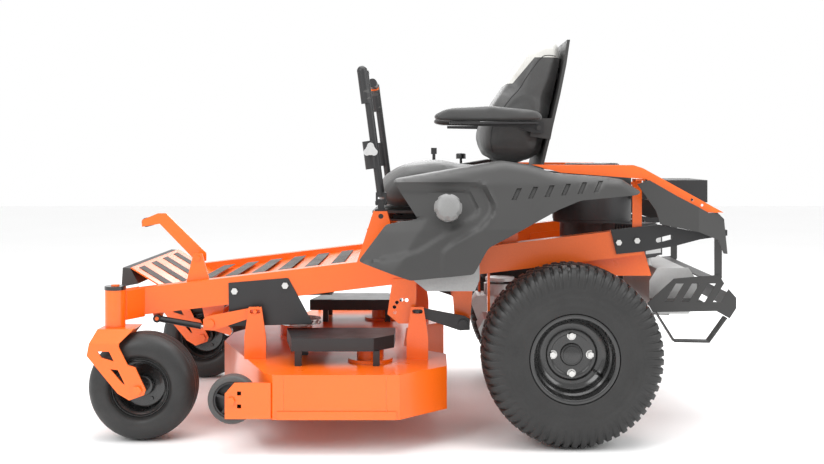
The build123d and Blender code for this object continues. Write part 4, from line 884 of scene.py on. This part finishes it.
# the panel stands upright up to SLOPE_LOW_Z, then leans in by SLOPE_IN as far as SLOPE_HIGH_Z
PANEL_OUT = 600
SLOPE_LOW_Z = 650
SLOPE_HIGH_Z = 790
SLOPE_IN = 52
TOP_EDGE_RADIUS = 24
PANEL_WALL = 0.004


def distance_to(line, x, z):
    """Distance from a point to a run of segments, and whether the point lies on its left-hand side."""
    best, side = 1e9, 0
    here = Vector((x, z))
    for a, b in zip(line, line[1:]):
        start, end = Vector(a), Vector(b)
        along = end - start
        t = max(0.0, min(1.0, (here - start).dot(along) / along.length_squared))
        gap = here - start - along * t
        if gap.length < best:
            best = gap.length
            side = along.x * gap.y - along.y * gap.x
    return best, side > 0


def eased(value):
    """A smooth step from 0 to 1."""
    value = max(0.0, min(1.0, value))
    return value * value * (3 - 2 * value)


def fender_face(x, z):
    """How far out the side panel's face is at a place, as a positive y."""
    if z < SLOPE_LOW_Z:
        out = PANEL_OUT
    elif z < SLOPE_HIGH_Z:
        out = PANEL_OUT - SLOPE_IN * (z - SLOPE_LOW_Z) / (SLOPE_HIGH_Z - SLOPE_LOW_Z)
    else:
        out = PANEL_OUT - SLOPE_IN - 43 * (z - SLOPE_HIGH_Z) / 80
    near, left = distance_to(CREASE, x, z)
    height_share = max(0.25, min(1.0, (z - 500) / 150))
    if not left:
        out -= 15 * eased(near / 16) * height_share
        near_pocket, pocket_left = distance_to(POCKET, x, z)
        if not pocket_left:
            out -= 9 * eased(near_pocket / 12)
    else:
        out += 2.5 * (1 - eased(near / 9))
    # the front lobe bends in beyond a slanting line
    lobe = (34 - x) + (z - 678) * 0.61
    if lobe > 0 and z < 690:
        out -= 0.28 * lobe
    edge, _ = distance_to(FENDER_TOP, x, z)
    if edge < TOP_EDGE_RADIUS:
        out -= TOP_EDGE_RADIUS - sqrt(max(0.0, TOP_EDGE_RADIUS ** 2 - (TOP_EDGE_RADIUS - edge) ** 2))
    return min(out, PANEL_OUT - 0.5)


def resampled(outline, step):
    """Points along a closed outline, about a step apart."""
    result = []
    for a, b in zip(outline, outline[1:] + outline[:1]):
        run, rise = b[0] - a[0], b[1] - a[1]
        pieces = max(1, int(hypot(run, rise) / step))
        result += [(a[0] + run * k / pieces, a[1] + rise * k / pieces) for k in range(pieces)]
    return result


def slot_loops():
    """Six slanted recesses towards the rear of the panel: the rim and the floor of each."""
    loops = []
    for number in range(6):
        x, z = 292 + 50 * number, 742 + 4.5 * number
        rim = [(x, z), (x + 15, z), (x + 33, z + 36), (x + 18, z + 36)]
        floor = [(x + 4, z + 3), (x + 13.5, z + 3), (x + 29, z + 33), (x + 19.5, z + 33)]
        loops.append((rim, floor))
    return loops


def in_slot_floor(spot):
    """Whether an (x, z) point lies on the floor of one of the recesses, which run anticlockwise."""
    for _, floor in slot_loops():
        sides = zip(floor, floor[1:] + floor[:1])
        if all((b[0] - a[0]) * (spot.y - a[1]) - (b[1] - a[1]) * (spot.x - a[0]) > -1e-3 for a, b in sides):
            return True
    return False


def fender_points(outline, loops):
    """Rows of points over the side panel, 8 mm apart and clear of its outline and its recesses."""
    spacing, low_z = 8, 500
    closed_outline = outline + outline[:1]
    closed_loops = [loop + loop[:1] for loop in loops]
    for column in range(-22, 87):
        for row in range(48):
            x, z = column * spacing + (row % 2) * spacing / 2, low_z + row * spacing
            if distance_to(closed_outline, x, z)[0] < 4:
                continue
            if any(distance_to(loop, x, z)[0] < 3 for loop in closed_loops):
                continue
            yield Vector((x, z))


def turned_in(bm, edges):
    """Extrudes open edges and gives the new points, to be moved."""
    extruded = bmesh.ops.extrude_edge_only(bm, edges=edges)
    return [v for v in extruded["geom"] if isinstance(v, bmesh.types.BMVert)]


def build_fender(side):
    """Sculpted side panel with its crease, the pocket around the filler, slots and a flat top."""
    name = SIDE_NAMES[side]
    slot_depth, edge_return, top_reach = 6, 22, 300
    outline = resampled(softened(FENDER, 10, 3), 9)
    loops = [loop for pair in slot_loops() for loop in pair]
    verts = [Vector(p) for p in outline]
    edges = [(k, (k + 1) % len(outline)) for k in range(len(outline))]
    for loop in loops:
        start = len(verts)
        verts += [Vector(p) for p in loop]
        edges += [(start + k, start + (k + 1) % len(loop)) for k in range(len(loop))]
    verts += fender_points(outline, loops)
    inside_only = 1
    result = delaunay_2d_cdt(verts, edges, [list(range(len(outline)))], inside_only, 1e-4)
    spots, faces = result[0], result[2]
    bm = bmesh.new()
    made = []
    for spot in spots:
        out = fender_face(spot.x, spot.y) - (slot_depth if in_slot_floor(spot) else 0)
        made.append(bm.verts.new(at(spot.x, side * out, spot.y)))
    for face in faces:
        bm.faces.new([made[k] for k in face])
    # the panel's edges turn inwards, and along the top they reach the seat
    top, rest = [], []
    for edge in [e for e in bm.edges if len(e.link_faces) == 1]:
        middle = (mower(edge.verts[0].co) + mower(edge.verts[1].co)) / 2
        (top if distance_to(FENDER_TOP, middle.x, middle.z)[0] < 3 else rest).append(edge)
    for vert in turned_in(bm, rest):
        vert.co.y -= side * edge_return * MM
    for vert in turned_in(bm, top):
        vert.co.y = at(0, side * top_reach, 0).y
    panel = piece(f"fender_{name}_look", bm, "charcoal_plastic", "frame", [f"fender_{name}"], smooth=38)
    thick = panel.modifiers.new("wall", "SOLIDIFY")
    thick.thickness = PANEL_WALL
    thick.offset = -1


for side in SIDES:
    build_fender(side)


# ---------------------------------------------------------------- controls
def build_lever(side):
    """Steering lever: tube, clamp with its lobed knob, and a padded grip with a stripe."""
    name = SIDE_NAMES[side]
    body = f"lever_arm_{name}"
    y = side * 360
    carried(body, 1.5, "black_paint", split=small_parts(60, "cast_aluminium"))
    bend = [(-157, y, 1052), (-165, y, 1098), (-170, y - side * 6, 1134), (-172, y - side * 26, 1147),
            (-172, y - side * 60, 1148), (-172, y - side * 107, 1148)]
    path = smooth_path(bend, 6)
    # the foam swells and narrows a little along the grip, and closes at its ends
    sizes = [16.2 + 0.7 * sin(index * 1.9) for index in range(len(path))]
    sizes[0], sizes[-1] = 13.5, 13
    bm = bmesh.new()
    tube(bm, path, 16, sides=24, radii=sizes)
    piece(f"grip_{name}", bm, "foam", body)
    bm = bmesh.new()
    tube(bm, path[11:14], 17.0, sides=24)
    piece(f"grip_stripe_{name}", bm, "thread", body)


def build_fuel_cap():
    """Filler cap with six notches in its rim, square to the sloping side panel."""
    x, z = 100, 712
    slope_height = SLOPE_HIGH_Z - SLOPE_LOW_Z
    lean = pi / 2 - atan2(slope_height, SLOPE_IN)
    middle = Vector((x, -PANEL_OUT + (z - SLOPE_LOW_Z) / slope_height * SLOPE_IN, z))
    axis = Vector((0, -cos(lean), sin(lean)))
    side_axis = Vector((1, 0, 0))
    up_axis = axis.cross(side_axis)
    bm = bmesh.new()
    # (distance out along the axis, radius)
    profile = ((16, 31), (18, 41), (20, 42), (34, 42), (36, 40), (44, 38.5), (50, 34), (54, 26), (56, 14),
               (56.5, 0))
    segments = 72
    rings = []
    for step in range(segments):
        angle = tau * step / segments
        notch = 0.93 if step % 12 in (0, 1, 2) else 1
        ring = []
        for along, radius in profile:
            r = radius * (notch if along < 45 and radius > 36 else 1)
            spot = middle + axis * along + (side_axis * sin(angle) + up_axis * cos(angle)) * r
            ring.append(bm.verts.new(at(*spot)))
        rings.append(ring)
    for step in range(segments):
        ring, following = rings[step], rings[(step + 1) % segments]
        for k in range(len(profile) - 1):
            bm.faces.new((ring[k], ring[k + 1], following[k + 1], following[k]))
    bm.faces.new([ring[0] for ring in rings])
    piece("fuel_cap_look", bm, "grey_plastic", "fuel_cap", ["fuel_cap"], smooth=40)


for side in SIDES:
    build_lever(side)
build_fuel_cap()
carried("pto_knob", 1.5, "gloss_black")
carried("throttle_lever", 1.5, "gloss_black")


# ---------------------------------------------------------------- details on the frame
def build_grip_tape():
    """Dark grit strips on the toe board and the floor."""
    bm = bmesh.new()
    low, high = 0.2, 1.6
    # the toe board: strips up its slope, with half their width to each side of a y
    start, end = Vector((-790, 434.6)), Vector((-920, 515))
    along = (end - start).normalized()
    up = Vector((0.53, 0.85))
    near, far = start + along * 14, start + along * 140
    strip = [tuple(near + up * low), tuple(far + up * low), tuple(far + up * high), tuple(near + up * high)]
    half = 32
    for y in (-250, -90, 70, 230):
        prism(bm, strip, y - half, y + half)
    # the floor: strips across it, on a surface that rises gently to the rear
    floor_front_x, floor_front_z, floor_slope, floor_lift = -895, 366, 0.1204, 70
    length, half_width = 44, 300
    for x in range(-740, -200, 90):
        near_z, far_z = (floor_front_z + floor_slope * (place - floor_front_x) + floor_lift
                         for place in (x, x + length))
        strip = [(x, near_z + low), (x + length, far_z + low), (x + length, far_z + high), (x, near_z + high)]
        prism(bm, strip, -half_width, half_width)
    piece("grip_strips", bm, "grip_tape", "frame")


def build_engine_details():
    """Cooling fins and a rocker cover for each cylinder, and the rings of the blower's grille."""
    engine_x = 617
    fins = bmesh.new()
    covers = bmesh.new()
    for turn in (-45, 45):
        direction = Vector((cos(radians(turn)), sin(radians(turn))))
        across = Vector((-direction.y, direction.x))
        for number in range(8):
            reach = 148 + 11 * number
            fin = ((reach - 2, -70), (reach + 2, -70), (reach + 2, 70), (reach - 2, 70))
            corners = [direction * out + across * aside for out, aside in fin]
            prism(fins, [(engine_x + c.x, c.y) for c in corners], 530, 642, "plan")
        cover = ((222, -50), (260, -46), (260, 46), (222, 50))
        corners = [direction * out + across * aside for out, aside in cover]
        prism(covers, softened([(engine_x + c.x, c.y) for c in corners], 8, 3), 546, 630, "plan")
    rounded(covers, 4)
    piece("engine_fins", fins, "black_paint", "frame")
    piece("rocker_covers", covers, "cast_aluminium", "frame")
    grille = bmesh.new()
    for number in range(6):
        radius = 92 - 14 * number
        disc(grille, (engine_x, 0, 0), 845, 849, radius, "z", bore=radius - 6, soft=0.8)
    piece("fan_grille", grille, "gloss_black", "frame")


def build_tank():
    """The tank's copy, held back inside the side panel's pocket below the filler neck."""
    wall_y = at(0, -556, 0).y
    neck_z = 645 * MM
    parts = []
    for _, _, part in islands("fuel_tank"):
        for vert in part.verts:
            if vert.co.y < wall_y and vert.co.z < neck_z:
                vert.co.y = wall_y
        rounded(part, 8, 3)
        parts.append(part)
    piece("fuel_tank_look", merged(parts), "tank", "frame", ["fuel_tank"])


build_grip_tape()
build_engine_details()
build_tank()
